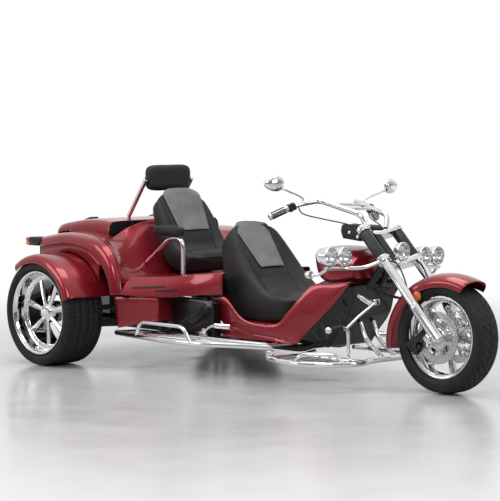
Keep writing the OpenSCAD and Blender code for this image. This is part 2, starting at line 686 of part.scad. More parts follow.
module plate_bracket() {
    color([0.75, 0.75, 0.76]) placed() {
        difference() {
            translate([-rear_overhang, -130, 395]) cube([4, 260, 140]);
            for (y = [-90, 90], z = [420, 510]) translate([-rear_overhang - 1, y, z]) rotate([0, 90, 0])
                cylinder(r = 3.5, h = 10);
        }
        for (y = [-60, 40]) translate([-rear_overhang + 4, y, 440]) cube([rear_overhang - 408.8, 20, 40]);
    }
}

// Fork

module yokes() {
    color([0.85, 0.86, 0.88]) in_fork() {
        for (s = [[515, 30], [733, 28]]) difference() {
            translate([0, 0, s[0]]) union() {
                linear_extrude(s[1]) polygon([[-34, -30], [-34, 30], [0, fork_half],
                    [leg_ahead + 22, fork_half + 20],
                    [leg_ahead + 30, fork_half - 20], [26, 40], [26, -40], [leg_ahead + 30, 20 - fork_half],
                    [leg_ahead + 22, -fork_half - 20], [0, -fork_half]]);
                for (y = [-fork_half, fork_half]) translate([leg_ahead, y,
                    0]) cylinder(r = fork_leg_r + 13, h = s[1]);
            }
            for (y = [-fork_half, fork_half]) translate([leg_ahead, y, 500]) cylinder(r = fork_leg_r + gap,
                h = 300);
        }
        translate([0, 0, 530]) cylinder(r = stem_r, h = 215);
    }
}

module fork_legs() {
    color([0.85, 0.86, 0.88]) in_fork() for (y = [-fork_half, fork_half]) difference() {
        union() {
            translate([leg_ahead, y, -46]) cylinder(r = fork_leg_r, h = 818);
            translate([leg_ahead, y, -46]) cylinder(r = fork_leg_r + 6, h = 250);
            translate([axle_ahead, y, 0]) rotate([90, 0, 0]) cylinder(r = 30, h = 44, center = true);
        }
        translate([axle_ahead, y, 0]) rotate([90, 0, 0]) cylinder(r = front_axle_r + gap, h = 80,
            center = true);
    }
}

module fork_covers() {
    color([0.16, 0.165, 0.17]) in_fork() for (y = [-fork_half, fork_half]) difference() {
        translate([leg_ahead, y, 545.3]) cylinder(r = fork_leg_r + 6, h = 187.4);
        translate([leg_ahead, y, 540]) cylinder(r = fork_leg_r + gap, h = 200);
    }
}

module front_axle() {
    color([0.8, 0.81, 0.83]) in_fork() translate([axle_ahead, 0, 0]) rotate([90, 0, 0]) {
        cylinder(r = front_axle_r, h = 2 * fork_half + 90, center = true);
        for (s = [-1, 1]) translate([0, 0, s * (fork_half + fork_leg_r + 12.4)])
            cylinder(r = front_axle_r + 7, h = 12, center = true);
        for (s = [-1, 1]) translate([0, 0, s * (fork_half - fork_leg_r + 81) / 2])
            cylinder(r = front_axle_r + 3.4, h = fork_half - fork_leg_r - 95, center = true);
    }
}

module calipers() {
    color([0.05, 0.05, 0.055]) in_fork() for (s = [-1, 1]) difference() {
        union() {
            translate([-168, s * 86 - 20, 30]) cube([66, 40, 84]);
            translate([-112, s * 115 - 15, 50]) cube([leg_ahead + 100, 30, 34]);
        }
        translate([-139, s * 80 - 8.5, 0]) cube([200, 17, 200]);
        translate([leg_ahead, s * fork_half, 0]) cylinder(r = fork_leg_r + 6 + gap, h = 300);
    }
}

module front_fender() {
    arc = [[58, 355], [75, 340], [95, 331], [115, 332], [135, 340], [155, 354], [175, 370], [193, 382]];
    section = [[-94, -62], [-92, -32], [-74, -9], [-40, 3], [0, 8], [40, 3], [74, -9], [92, -32], [94, -62]];
    rows = [for (a = smooth(arc, 2)) [for (q = section) let (r = a[1] + q[1])
        [drawn_wheelbase + r * cos(a[0]), q[0], front_axle_z - front_tyre_r + 300 + r * sin(a[0])]]];
    color([0.42, 0.06, 0.09]) steered() sheet(rows, 4.5);
    color([0.42, 0.06, 0.09]) in_fork() for (s = [-1, 1]) difference() {
        translate([leg_ahead - 13, s * 103 - 12, 262]) cube([26, 24, 26]);
        translate([leg_ahead, s * fork_half, 200]) cylinder(r = fork_leg_r + gap, h = 200);
    }
}

// Handlebar and lamps

bar_line = [[1980.6, -73.2, 863.2], [1957, -110, 936], [1672, -140, 1006], [1640, -300, 978],
    [1583, -430, 913]];

module handlebar() {
    color([0.85, 0.86, 0.88]) steered() {
        both_sides() pipe(bent(bar_line, 38, 4), bar_r);
        pipe([[1750, bar_r - 131.5, 986.8], [1750, 131.5 - bar_r, 986.8]], 9);
        pipe([[1830, bar_r - 123.5, 967], [1830, 123.5 - bar_r, 967]], 9);
    }
}

module grips() {
    color([0.05, 0.05, 0.055]) steered() both_sides() {
        u = unit(bar_line[4] - bar_line[3]);
        aimed(bar_line[4] + u * 14, bar_line[3]) difference() {
            cylinder(r = bar_r + 5, h = 118);
            translate([0, 0, 13.7]) cylinder(r = bar_r + 1.5 + gap, h = 130);
        }
    }
}

module mirrors() {
    color([0.8, 0.81, 0.83]) steered() both_sides() {
        pipe(bent([[1650, -250, 987.1 + bar_r], [1650, -252, 1014], [1655, -300, 1034],
            [1652, -470, 1080]], 30), 6, 8);
        translate([1649, -480, 1094]) rotate([90, 0, 78]) linear_extrude(24, center = true)
            polygon([for (a = [0 : 15 : 345]) [60 * cos(a), 43 * sin(a)]]);
    }
}

module instrument_pod() {
    color([0.05, 0.05, 0.055]) steered() {
        profile([[1800, 800], [1906, 791], [1918, 788.4], [1950, 820.4], [1954, 868], [1935, 880],
            [1790, 880],
            [1780, 840]], -84, 84);
    }
}

module lamp_bar() {
    color([0.85, 0.86, 0.88]) steered() both_sides() {
        pipe(bent([[2150, -172, 684], [2095, -230, 652], [2038, -320, 648.6], [2038, -470, 648.6]], 40, 3),
            11);
        pipe(bent([[2036, -452, 645], [2000, -470, 616], [1980, -486, 610], [1952.5, -486, 610]], 14, 3), 8);
    }
}

module headlamps() {
    color([0.85, 0.86, 0.88]) {
        steered() {
            for (y = [-440, -330, 330, 440]) translate([1960, y, 712]) rotate([0, 90, 0]) {
                cylinder(r1 = 30, r2 = 50, h = 60);
                translate([0, 0, 60]) cylinder(r = 52, h = 36);
            }
            translate([2130, 0, 742]) rotate([0, 90, 0]) {
                cylinder(r1 = 30, r2 = 50, h = 30);
                translate([0, 0, 30]) cylinder(r = 52, h = 20);
            }
        }
        in_fork() translate([26 + gap, -12, 518]) cube([36, 24, 22]);
    }
}

module headlamp_lenses() {
    color([0.9, 0.92, 0.94]) steered() {
        for (y = [-440, -330, 330, 440]) translate([2056.3, y, 712]) rotate([0, 90, 0])
            cylinder(r1 = 47, r2 = 42, h = 8);
        translate([2180.3, 0, 742]) rotate([0, 90, 0]) cylinder(r1 = 45, r2 = 40, h = 8);
    }
}

module turn_signals() {
    color([0.85, 0.86, 0.88]) steered() both_sides() {
        translate([1906, -486, 610]) rotate([0, 90, 0]) cylinder(r = 22, h = 46);
    }
}

frame();
steering_head();
engine();
final_drive();
rear_arms();
rear_dampers();
rear_body();
vents();
rear_shoulders();
rear_valance();
trunk_tub();
lid_hinges();
trunk_lid();
lid_pins();
rear_fenders();
mid_body();
side_panels();
side_boxes();
front_body();
under_cover();
down_tubes();
rider_seat();
passenger_seat();
headrest();
headrest_stays();
armrest_frames();
armrest_pads();
footboards();
front_hoop();
foot_controls();
handbrake();
tail_lamps();
plate_bracket();
exhaust();
yokes();
fork_legs();
fork_covers();
front_axle();
calipers();
handlebar();
grips();
mirrors();
instrument_pod();
lamp_bar();
headlamps();
headlamp_lenses();
turn_signals();
front_fender();
front_tyre();
front_rim();
front_discs();
rear_tyre_right();
rear_rim_right();
rear_tyre_left();
rear_rim_left();
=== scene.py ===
"""Looks of a motor trike with a raked fork: panels, wheels, seats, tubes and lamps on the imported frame.

Shapes are worked out in mm from the rear axle, +X forward, +Y left, +Z up, and put into the row frame in
metres. A shape is a pair of its points and a list of arrays of faces, and functions pass lists of shapes.
"""

import json
import math

import bmesh
import bpy
import numpy as np
from mathutils import Matrix


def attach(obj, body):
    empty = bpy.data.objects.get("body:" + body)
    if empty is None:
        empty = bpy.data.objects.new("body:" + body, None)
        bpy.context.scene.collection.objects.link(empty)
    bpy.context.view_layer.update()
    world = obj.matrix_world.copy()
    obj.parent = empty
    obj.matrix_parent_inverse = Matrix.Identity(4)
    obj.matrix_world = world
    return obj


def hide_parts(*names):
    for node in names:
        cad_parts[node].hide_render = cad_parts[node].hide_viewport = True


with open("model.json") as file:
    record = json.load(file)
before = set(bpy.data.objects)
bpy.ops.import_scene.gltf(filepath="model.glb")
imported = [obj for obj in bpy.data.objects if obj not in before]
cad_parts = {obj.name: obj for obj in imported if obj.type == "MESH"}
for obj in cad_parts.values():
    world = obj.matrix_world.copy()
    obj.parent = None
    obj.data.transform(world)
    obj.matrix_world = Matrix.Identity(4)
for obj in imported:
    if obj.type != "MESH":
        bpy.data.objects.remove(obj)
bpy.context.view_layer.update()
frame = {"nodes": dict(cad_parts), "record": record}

REAR_AXLE = -1168.5  # the rear axle's place in the row frame
HUB_Y, REAR_R, FRONT_R = 735.0, 316.0, 300.0
FRONT_X, FRONT_Z = 2507, 300.6
RAKE, STEER = math.radians(45), math.radians(3.4)
AXLE_LEAD = 9  # the front axle, ahead of the steering axis
STEM_FOOT = np.array([FRONT_X - AXLE_LEAD * math.cos(RAKE), 0, FRONT_Z - AXLE_LEAD * math.sin(RAKE)])
LEG = [39, -135, 0]  # the right fork leg in the fork's own frame
SKIN = 5.0  # a panel's thickness
WELD = 2e-5  # points nearer than this, in metres, become one


# Shapes


def unit(v):
    """Vectors divided by their lengths."""
    return v / np.maximum(np.linalg.norm(v, axis=-1, keepdims=True), 1e-9)


def turn(axis, angle):
    """The matrix that turns by an angle about the x, y or z axis."""
    i, j = {"x": (1, 2), "y": (2, 0), "z": (0, 1)}[axis]
    m = np.eye(3)
    m[i, i] = m[j, j] = math.cos(angle)
    m[j, i], m[i, j] = math.sin(angle), -math.sin(angle)
    return m


FORK_TURN = turn("y", -RAKE) @ turn("z", STEER)


def in_fork(p):
    """Points of the fork's own frame, Z up its stem and X ahead, turned by the rake and the steering."""
    return np.asarray(p, float) @ FORK_TURN.T + STEM_FOOT


def steered(p):
    """Points drawn with the fork straight, turned about the stem by the angle it stands at."""
    return in_fork((np.asarray(p, float) - STEM_FOOT) @ turn("y", RAKE).T)


def on_front_wheel(p):
    """Points about a Z axle, laid on the front axle."""
    return in_fork(p @ turn("x", -math.pi / 2).T + [AXLE_LEAD, 0, 0])


def on_right_wheel(p):
    """Points about a Z axle that runs outwards, laid on the right rear axle."""
    return p @ turn("x", math.pi / 2).T + [0, -HUB_Y, REAR_R]


def on_left_wheel(p):
    """Points about a Z axle that runs outwards, laid on the left rear axle."""
    return p @ turn("x", -math.pi / 2).T + [0, HUB_Y, REAR_R]


def moved(shapes, place):
    """The shapes with a function of place applied to their points."""
    return [(place(p), f) for p, f in shapes]


def shifted(shapes, by):
    """The shapes moved along by a vector."""
    return moved(shapes, lambda p: p + by)


def turned(shapes, axis, angle):
    """The shapes turned about an axis."""
    return moved(shapes, lambda p: p @ turn(axis, angle).T)


def around(shapes, count, radius, height):
    """Copies of the shapes at equal steps round a circle about the Z axis."""
    angles = [i * 2 * math.pi / count for i in range(count)]
    spots = [[radius * math.cos(a), radius * math.sin(a), height] for a in angles]
    return [s for spot in spots for s in shifted(shapes, spot)]


def mirrored(shapes):
    """The shapes on the other side of the middle, with their faces turned the right way out."""
    return [(p * [1, -1, 1], [a[:, ::-1] for a in f]) for p, f in shapes]


def both(shapes):
    """The shapes on both sides."""
    return shapes + mirrored(shapes)


def curve(p, steps, axis=0):
    """A smooth cubic through the points along one axis of an array, in so many steps from each to the next."""
    p = np.moveaxis(np.asarray(p, float), axis, 0)
    a, b, c, d = p[np.r_[0, 0 : len(p) - 2]], p[:-1], p[1:], p[np.r_[2 : len(p), len(p) - 1]]
    t = (np.arange(steps) / steps).reshape((1, -1) + (1,) * (p.ndim - 1))
    a, b, c, d = (q[:, None] for q in (a, b, c, d))
    q = 0.5 * (2 * b + (c - a) * t + (2 * a - 5 * b + 4 * c - d) * t**2 + (3 * b - a - 3 * c + d) * t**3)
    return np.moveaxis(np.concatenate([q.reshape((-1,) + p.shape[1:]), p[-1:]]), 0, axis)


def creased(p, steps, axis, creases):
    """A smooth run through the points, but with a crease kept at some: each stretch is curved by itself."""
    cuts = [0, *creases, p.shape[axis] - 1]
    runs = [curve(np.take(p, range(a, b + 1), axis), steps, axis) for a, b in zip(cuts[:-1], cuts[1:])]
    keep = [np.take(r, range(r.shape[axis] - 1), axis) for r in runs[:-1]]
    return np.concatenate(keep + [runs[-1]], axis)


def bent(points, radius, steps=8):
    """A polyline with each corner replaced by a parabola that leaves it at the radius from the corner."""
    p = np.asarray(points, float)
    b, u, v = p[1:-1], p[:-2] - p[1:-1], p[2:] - p[1:-1]
    lu, lv = np.linalg.norm(u, axis=1), np.linalg.norm(v, axis=1)
    d = np.minimum(radius, 0.48 * np.minimum(lu, lv))[:, None]
    s, e = b + unit(u) * d, b + unit(v) * d
    t = np.linspace(0, 1, steps + 1)[None, :, None]
    arcs = s[:, None] * (1 - t) ** 2 + 2 * b[:, None] * t * (1 - t) + e[:, None] * t**2
    return np.concatenate([p[:1], arcs.reshape(-1, p.shape[1]), p[-1:]])


def rounded(outline, radius, steps=4):
    """A closed outline with its corners bent, all but the first."""
    return bent([*outline, outline[0]], radius, steps)[:-1]


def quads(m, n, ring=False, loop=False):
    """Faces of a grid of m rows and n columns, facing rows cross columns; ring closes rows, loop columns."""
    i, j = np.arange(m if loop else m - 1)[:, None], np.arange(n if ring else n - 1)[None]
    k, l = (i + 1) % m, (j + 1) % n
    return np.stack([i * n + j, k * n + j, k * n + l, i * n + l], -1).reshape(-1, 4)


def grid(p, ring=False, loop=False):
    """A surface over a grid of points."""
    return [(p.reshape(-1, 3), [quads(*p.shape[:2], ring, loop)])]


def ruled(edges, steps, count):
    """The grid of a sheet of straight lines between two smooth edges."""
    t = np.linspace(0, 1, count)[None, :, None]
    edges = curve(edges, steps)
    return edges[:, :1] * (1 - t) + edges[:, 1:] * t


def whole(half):
    """Rows from the right edge to the middle, carried on as their mirror image to the left edge."""
    return np.concatenate([half, (half * [1, -1, 1])[:, -2::-1]], 1)


def facing(p):
    """Unit normals of a grid: the change along the rows cross the change along the columns."""
    return unit(np.cross(np.gradient(p, axis=0), np.gradient(p, axis=1)))


def shell(p, thick, lip=5):
    """A panel: the grid, the same grid moved in by its thickness, and a half round edge joining them."""
    n = facing(p)
    rows, cols = p.shape[:2]
    i = np.r_[np.zeros(cols - 1, int), 0 : rows - 1, np.full(cols - 1, rows - 1), rows - 1 : 0 : -1]
    j = np.r_[0 : cols - 1, np.full(rows - 1, cols - 1), cols - 1 : 0 : -1, np.zeros(rows - 1, int)]
    edge, out = p[i, j] - n[i, j] * thick / 2, n[i, j]
    way = unit(np.roll(edge, -1, 0) - np.roll(edge, 1, 0))
    side = unit(np.cross(way, out))
    inner = p[np.clip(i, 1, rows - 2), np.clip(j, 1, cols - 2)]
    side = np.where(np.sum(side * (inner - edge), 1, keepdims=True) > 0, -side, side)
    a = np.linspace(math.pi / 2, -math.pi / 2, lip)[:, None, None]
    rim = edge + thick / 2 * (np.sin(a) * out + np.cos(a) * side * 0.8)
    return grid(p) + [((p - n * thick).reshape(-1, 3), [quads(rows, cols)[:, ::-1]])] + grid(rim, ring=True)


def strip(line, half, thick):
    """A plate bent along a side view, across the middle, with its half width along the line."""
    line, half = np.asarray(line, float), np.broadcast_to(half, len(line))
    y = np.linspace(-1, 1, 9)[None]
    p = np.stack([line[:, :1] + 0 * y, half[:, None] * y, line[:, 1:] + 0 * y], -1)
    return shell(p, thick, 3)


def lathe(profile, sides, soft=0.0, closed=False):
    """A profile of radius and height turned about the Z axis, its corners softened; closed joins its ends."""
    if soft:
        profile = rounded(profile, soft, 3) if closed else bent(profile, soft, 3)
    profile = np.asarray(profile, float)
    a = np.linspace(0, 2 * math.pi, sides, endpoint=False)[None, :]
    r, z = profile[:, :1], profile[:, 1:]
    return grid(np.stack([r * np.cos(a), r * np.sin(a), z + 0 * a], -1), ring=True, loop=closed)


def capped(rings):
    """Rings of points joined along, with a flat face over each end."""
    m, n = rings.shape[:2]
    ends = [np.arange(n)[None], np.arange((m - 1) * n, m * n)[None, ::-1]]
    return [(rings.reshape(-1, 3), [quads(m, n, ring=True), *ends])]


def frames(path):
    """For each point of a path: its direction, and two square to it, the first nearest the plane's normal."""
    t = unit(np.gradient(path, axis=0))
    plane = np.linalg.svd(path - path.mean(0))[2][-1]
    n = unit(plane - t * (t @ plane)[:, None])
    return t, n, np.cross(t, n)


def bar(path, radius, sides=20, soft=2.0):
    """A round bar: circles square to the path, with a small round at each end."""
    path = np.asarray(path, float)
    t, n, b = frames(path)
    r = np.broadcast_to(np.asarray(radius, float), len(path)).copy()
    start, end = path[:1] + t[:1] * soft, path[-1:] - t[-1:] * soft
    path = np.concatenate([path[:1], start, path[1:-1], end, path[-1:]])
    r = np.r_[r[0] - soft, r, r[-1] - soft]
    t, n, b = (np.concatenate([q[:1], q, q[-1:]]) for q in (t, n, b))
    a = np.linspace(0, 2 * math.pi, sides, endpoint=False)[None, :, None]
    return capped(path[:, None] + r[:, None, None] * (np.cos(a) * n[:, None] + np.sin(a) * b[:, None]))


def along(shapes, start, end):
    """Shapes drawn up the Z axis, turned to run from start towards end."""
    start, end = np.asarray(start, float), np.asarray(end, float)
    w = unit(end - start)
    u = unit(np.cross([0, 0, 1.0] if abs(w[2]) < 0.9 else [0, 1.0, 0], w))
    m = np.stack([u, np.cross(w, u), w])
    return moved(shapes, lambda p: p @ m + start)


def limits(x, y, z):
    """The low and the high corner of a box."""
    return np.array([x, y, z], float).T


def sphere(lat, lon, bend=lambda v: v):
    """Directions over a ball, by latitude and longitude, each sine and cosine bent by a function."""
    lat, lon = lat[:, None], lon[None]
    flat = bend(np.cos(lat))
    return np.stack([flat * bend(np.cos(lon)), flat * bend(np.sin(lon)), bend(np.sin(lat)) + 0 * lon], -1)


def block(x, y, z, soft):
    """A box between two limits on each axis with round edges: a ball's directions pushed to the corners."""
    lo, hi = limits(x, y, z)
    soft = min(soft, float((hi - lo).min()) / 2.01)
    lon = np.linspace(0, 2 * math.pi, 24, endpoint=False) + math.pi / 24
    d = sphere(np.linspace(-math.pi / 2, math.pi / 2, 14), lon)
    return capped(np.where(d > 0, hi - soft, lo + soft) + soft * d)


def plate(outline, low, high, soft=3.0):
    """A flat plate: its outline, drawn in a little at both faces so that its edges are round."""
    o = np.asarray(outline, float)
    way = unit(np.roll(o, -1, 0) - np.roll(o, 1, 0))
    inward = np.stack([-way[:, 1], way[:, 0]], -1)
    inward *= np.sign(np.sum(o[:, 0] * np.roll(o[:, 1], -1) - o[:, 1] * np.roll(o[:, 0], -1)))
    steps = [(soft, low), (soft * 0.3, low + soft * 0.3), (0, low + soft),
        (0, high - soft), (soft * 0.3, high - soft * 0.3), (soft, high)]
    return capped(np.stack([np.concatenate([o + inward * d, np.full((len(o), 1), z)], 1) for d, z in steps]))


def side_view(outline, low, high, soft):
    """A side view of x and z carried across, between two distances to the right of the middle."""
    return moved(plate(outline, low, high, soft), lambda p: p[:, [0, 2, 1]] * [1, -1, 1])


def piece(name, shapes, finish, stands_for=(), body="chassis", sharp=38.0, slot=None):
    """One object of joined shapes, at the origin in metres, smooth but for edges sharper than an angle."""
    points, faces, base = [], [], 0
    for p, groups in shapes:
        points.append(p)
        for g in groups:
            faces += (g + base).tolist()
        base += len(p)
    mesh = bpy.data.meshes.new(name)
    mesh.from_pydata((np.concatenate(points) + [REAR_AXLE, 0, 0]) * 0.001, [], faces)
    bm = bmesh.new()
    bm.from_mesh(mesh)
    bmesh.ops.remove_doubles(bm, verts=bm.verts, dist=WELD)
    bmesh.ops.recalc_face_normals(bm, faces=bm.faces)
    bm.to_mesh(mesh)
    bm.free()
    mesh.polygons.foreach_set("use_smooth", np.ones(len(mesh.polygons), bool))
    mesh.set_sharp_from_angle(angle=math.radians(sharp))
    mesh.materials.append(finish)
    obj = bpy.data.objects.new(name, mesh)
    bpy.context.scene.collection.objects.link(obj)
    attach(obj, body)
    slot = slot or SLOT.get(finish.name)
    if stands_for:
        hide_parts(stands_for)
    return obj


# Finishes


class Nodes:
    """A material's node tree, with short ways to add and join nodes."""

    def __init__(self, name):
        self.material = bpy.data.materials.new(name)
        self.material.use_nodes = True
        self.tree = self.material.node_tree
        self.tree.nodes.clear()
        self.shader = self.add("ShaderNodeBsdfPrincipled")
        self.out = self.add("ShaderNodeOutputMaterial").inputs[0]
        self.join(self.shader.outputs[0], self.out)
        self.place = self.add("ShaderNodeTexCoord").outputs["Object"]

    def add(self, kind, **values):
        """A node with some of its properties set."""
        node = self.tree.nodes.new(kind)
        for key, value in values.items():
            setattr(node, key, value)
        return node

    def join(self, a, b):
        """A link from one socket to another."""
        self.tree.links.new(a, b)

    def set(self, **values):
        """Values of the shader's own sockets, underscores standing for spaces."""
        for key, value in values.items():
            self.shader.inputs[key.replace("_", " ")].default_value = value

    def noise(self, scale, detail=3.0, stretch=None):
        """Cloudy noise of so many cells a metre, stretched along the axes if asked."""
        node = self.add("ShaderNodeTexNoise")
        node.inputs["Scale"].default_value, node.inputs["Detail"].default_value = scale, detail
        self.join(self.stretched(stretch), node.inputs["Vector"])
        return node.outputs["Fac"]

    def cells(self, scale, output="Distance"):
        """Cells round scattered points: the distance to the nearest, or a colour for each."""
        node = self.add("ShaderNodeTexVoronoi", feature="F1")
        node.inputs["Scale"].default_value = scale
        self.join(self.place, node.inputs["Vector"])
        return node.outputs[output]

    def stretched(self, stretch):
        """Object coordinates, scaled along each axis."""
        if not stretch:
            return self.place
        node = self.add("ShaderNodeMapping")
        node.inputs["Scale"].default_value = stretch
        self.join(self.place, node.inputs["Vector"])
        return node.outputs[0]

    def spread(self, value, low, high, start=0.3, end=0.7):
        """A value carried from one range to another and held at its ends."""
        node = self.add("ShaderNodeMapRange")
        for key, x in zip(("From Min", "From Max", "To Min", "To Max"), (start, end, low, high)):
            node.inputs[key].default_value = x
        self.join(value, node.inputs["Value"])
        return node.outputs[0]

    def colours(self, value, *stops):
        """A value turned into colours at stops from 0 to 1."""
        node = self.add("ShaderNodeValToRGB")
        ramp = node.color_ramp
        while len(ramp.elements) < len(stops):
            ramp.elements.new(0.5)
        for element, (at, colour) in zip(ramp.elements, stops):
            element.position, element.color = at, (*colour, 1)
        self.join(value, node.inputs[0])
        return node.outputs[0]

    def maths(self, kind, a, b):
        """Arithmetic on sockets or numbers."""
        node = self.add("ShaderNodeMath", operation=kind)
        for x, socket in zip((a, b), node.inputs):
            if isinstance(x, float):
                socket.default_value = x
            else:
                self.join(x, socket)
        return node.outputs[0]

    def bump(self, height, strength, depth):
        """A bumped normal from a height in units of depth, in metres."""
        node = self.add("ShaderNodeBump")
        node.inputs["Strength"].default_value, node.inputs["Distance"].default_value = strength, depth
        self.join(height, node.inputs["Height"])
        self.to(node.outputs[0], "Normal")

    def to(self, socket, key):
        """A socket joined to one of the shader's inputs."""
        self.join(socket, self.shader.inputs[key])


def shades(colour, spread):
    """A colour made darker and lighter by a share."""
    return tuple(c * (1 - spread) for c in colour), tuple(min(c * (1 + spread), 1) for c in colour)


def wine_paint():
    """Metallic wine red: fine flakes of differing brightness under a clear coat, with a faint orange peel."""
    n = Nodes("wine_paint")
    flakes = n.cells(2600, "Color")
    split = n.add("ShaderNodeSeparateColor")
    n.join(flakes, split.inputs[0])
    reds = (0, (0.22, 0.005, 0.012)), (0.7, (0.28, 0.008, 0.018)), (1, (0.36, 0.018, 0.032))
    n.to(n.colours(split.outputs[0], *reds), "Base Color")
    n.to(n.spread(n.noise(40), 0.26, 0.34), "Roughness")
    n.set(Metallic=0.55, Coat_Weight=0.75, Coat_Roughness=0.035, Specular_IOR_Level=0.4)
    n.bump(n.noise(220, 1.0), 0.012, 0.0003)
    return n.material


def polished(name, colour, low, high, streaks=(300, 300, 300)):
    """Bright metal: mirror smooth with faint haze and wipe marks in its roughness."""
    n = Nodes(name)
    dark, light = shades(colour, 0.05)
    n.to(n.colours(n.noise(6), (0.3, dark), (0.7, light)), "Base Color")
    n.to(n.spread(n.noise(1, 4.0, streaks), low, high), "Roughness")
    n.set(Metallic=1.0)
    n.bump(n.noise(25, 2.0), 0.01, 0.0005)
    return n.material


def satin(name, colour, rough, metal=0.0, grain=1500, depth=0.12, coat=0.0):
    """A painted or moulded satin surface: fine grain, and a little wear in its colour and gloss."""
    n = Nodes(name)
    dark, light = shades(colour, 0.22)
    n.to(n.colours(n.noise(14, 5.0), (0.3, dark), (0.7, light)), "Base Color")
    n.to(n.spread(n.noise(60, 4.0), rough - 0.06, rough + 0.08), "Roughness")
    n.set(Metallic=metal, Coat_Weight=coat, Coat_Roughness=0.06, Specular_IOR_Level=0.35)
    n.bump(n.noise(grain, 2.0), depth, 0.0004)
    return n.material


def leather(name, colour):
    """Leather: a net of grain cells with creases, duller in the hollows, and slow patches of wear."""
    n = Nodes(name)
    dark, light = shades(colour, 0.25)
    n.to(n.colours(n.noise(9, 4.0), (0.3, dark), (0.75, light)), "Base Color")
    grain = n.cells(620)
    n.to(n.spread(grain, 0.42, 0.56, 0.0, 0.6), "Roughness")
    n.set(Specular_IOR_Level=0.28)
    n.bump(n.maths("ADD", grain, n.maths("MULTIPLY", n.noise(120, 4.0), 0.9)), 0.28, 0.0008)
    return n.material


def rubber():
    """Tyre rubber: near black, dusty in patches, with a fine moulded grain."""
    n = Nodes("tyre_rubber")
    blacks = (0.3, (0.009, 0.009, 0.01)), (0.75, (0.019, 0.019, 0.02))
    n.to(n.colours(n.noise(18, 6.0), *blacks), "Base Color")
    n.to(n.spread(n.noise(30, 4.0), 0.5, 0.68), "Roughness")
    n.set(Specular_IOR_Level=0.3)
    n.bump(n.noise(700, 3.0), 0.2, 0.0006)
    return n.material


def clear(name, colour):
    """Moulded glass or clear plastic, faintly rippled."""
    n = Nodes(name)
    dark, light = shades(colour, 0.04)
    n.to(n.colours(n.noise(30), (0.3, dark), (0.7, light)), "Base Color")
    n.to(n.spread(n.noise(80), 0.02, 0.06), "Roughness")
    n.set(Transmission_Weight=0.92, IOR=1.46)
    n.bump(n.noise(160, 1.0), 0.06, 0.0005)
    return n.material


def lamp_plastic(name, colour):
    """Coloured lamp plastic: a deep colour with moulded facets under a gloss coat, its colour painted lighter
    in each facet's middle and darker towards its edge as painted highlight and shade.
    """
    n = Nodes(name)
    dark, light = shades(colour, 0.3)
    # painted highlight and shade: lighter at each facet's middle, darker towards its edge
    n.to(n.colours(n.cells(160), (0.0, light), (0.6, dark)), "Base Color")
    n.to(n.spread(n.noise(60), 0.14, 0.22), "Roughness")
    n.set(Coat_Weight=1.0, Coat_Roughness=0.04)
    n.bump(n.cells(160), 0.25, 0.001)
    return n.material


PAINT = wine_paint()
CHROME = polished("chrome", (0.8, 0.81, 0.82), 0.04, 0.1)
STEEL = satin("black_steel", (0.014, 0.014, 0.015), 0.42, coat=0.2)
PLASTIC = satin("black_plastic", (0.012, 0.012, 0.013), 0.42, grain=900, depth=0.25)
GLOSS_BLACK = satin("gloss_black", (0.004, 0.004, 0.005), 0.2, coat=0.25)
GREY = satin("fork_grey", (0.04, 0.041, 0.043), 0.34, metal=0.5)
ALLOY = satin("cast_alloy", (0.2, 0.205, 0.21), 0.42, metal=0.9, grain=500, depth=0.3)
DISC = polished("disc_steel", (0.56, 0.57, 0.58), 0.2, 0.34, (40, 900, 900))
LEATHER = leather("black_leather", (0.018, 0.018, 0.0195))
INSERT = leather("grey_leather", (0.17, 0.172, 0.175))
RUBBER = rubber()
LENS = clear("lamp_glass", (0.97, 0.98, 0.99))
# both lamp plastics carry painted highlight and shade on their facets
AMBER = lamp_plastic("amber_plastic", (0.9, 0.2, 0.01))
RED_LENS = lamp_plastic("red_plastic", (0.55, 0.02, 0.01))
MIRROR = polished("mirror_glass", (0.8, 0.83, 0.85), 0.005, 0.03)
PLATE_WHITE = satin("blank_plate", (0.6, 0.6, 0.58), 0.4, coat=0.3)

CAD_FINISH = {
    "body_paint": PAINT, "chrome": CHROME, "black_steel": STEEL, "leather": LEATHER, "tyre": RUBBER,
    "black_plastic": PLASTIC, "fork_grey": GREY, "alloy": ALLOY, "disc_steel": DISC, "lens": LENS,
}
SLOT = {finish.name: slot for slot, finish in CAD_FINISH.items()}
SLOT |= {GLOSS_BLACK.name: "black_plastic", INSERT.name: "leather"}
for part in frame["record"]["subparts"]:
    node = frame["nodes"][part["node"]]
    node.data.materials.clear()
    node.data.materials.append(CAD_FINISH[part["material_slot"]])


# Wheels


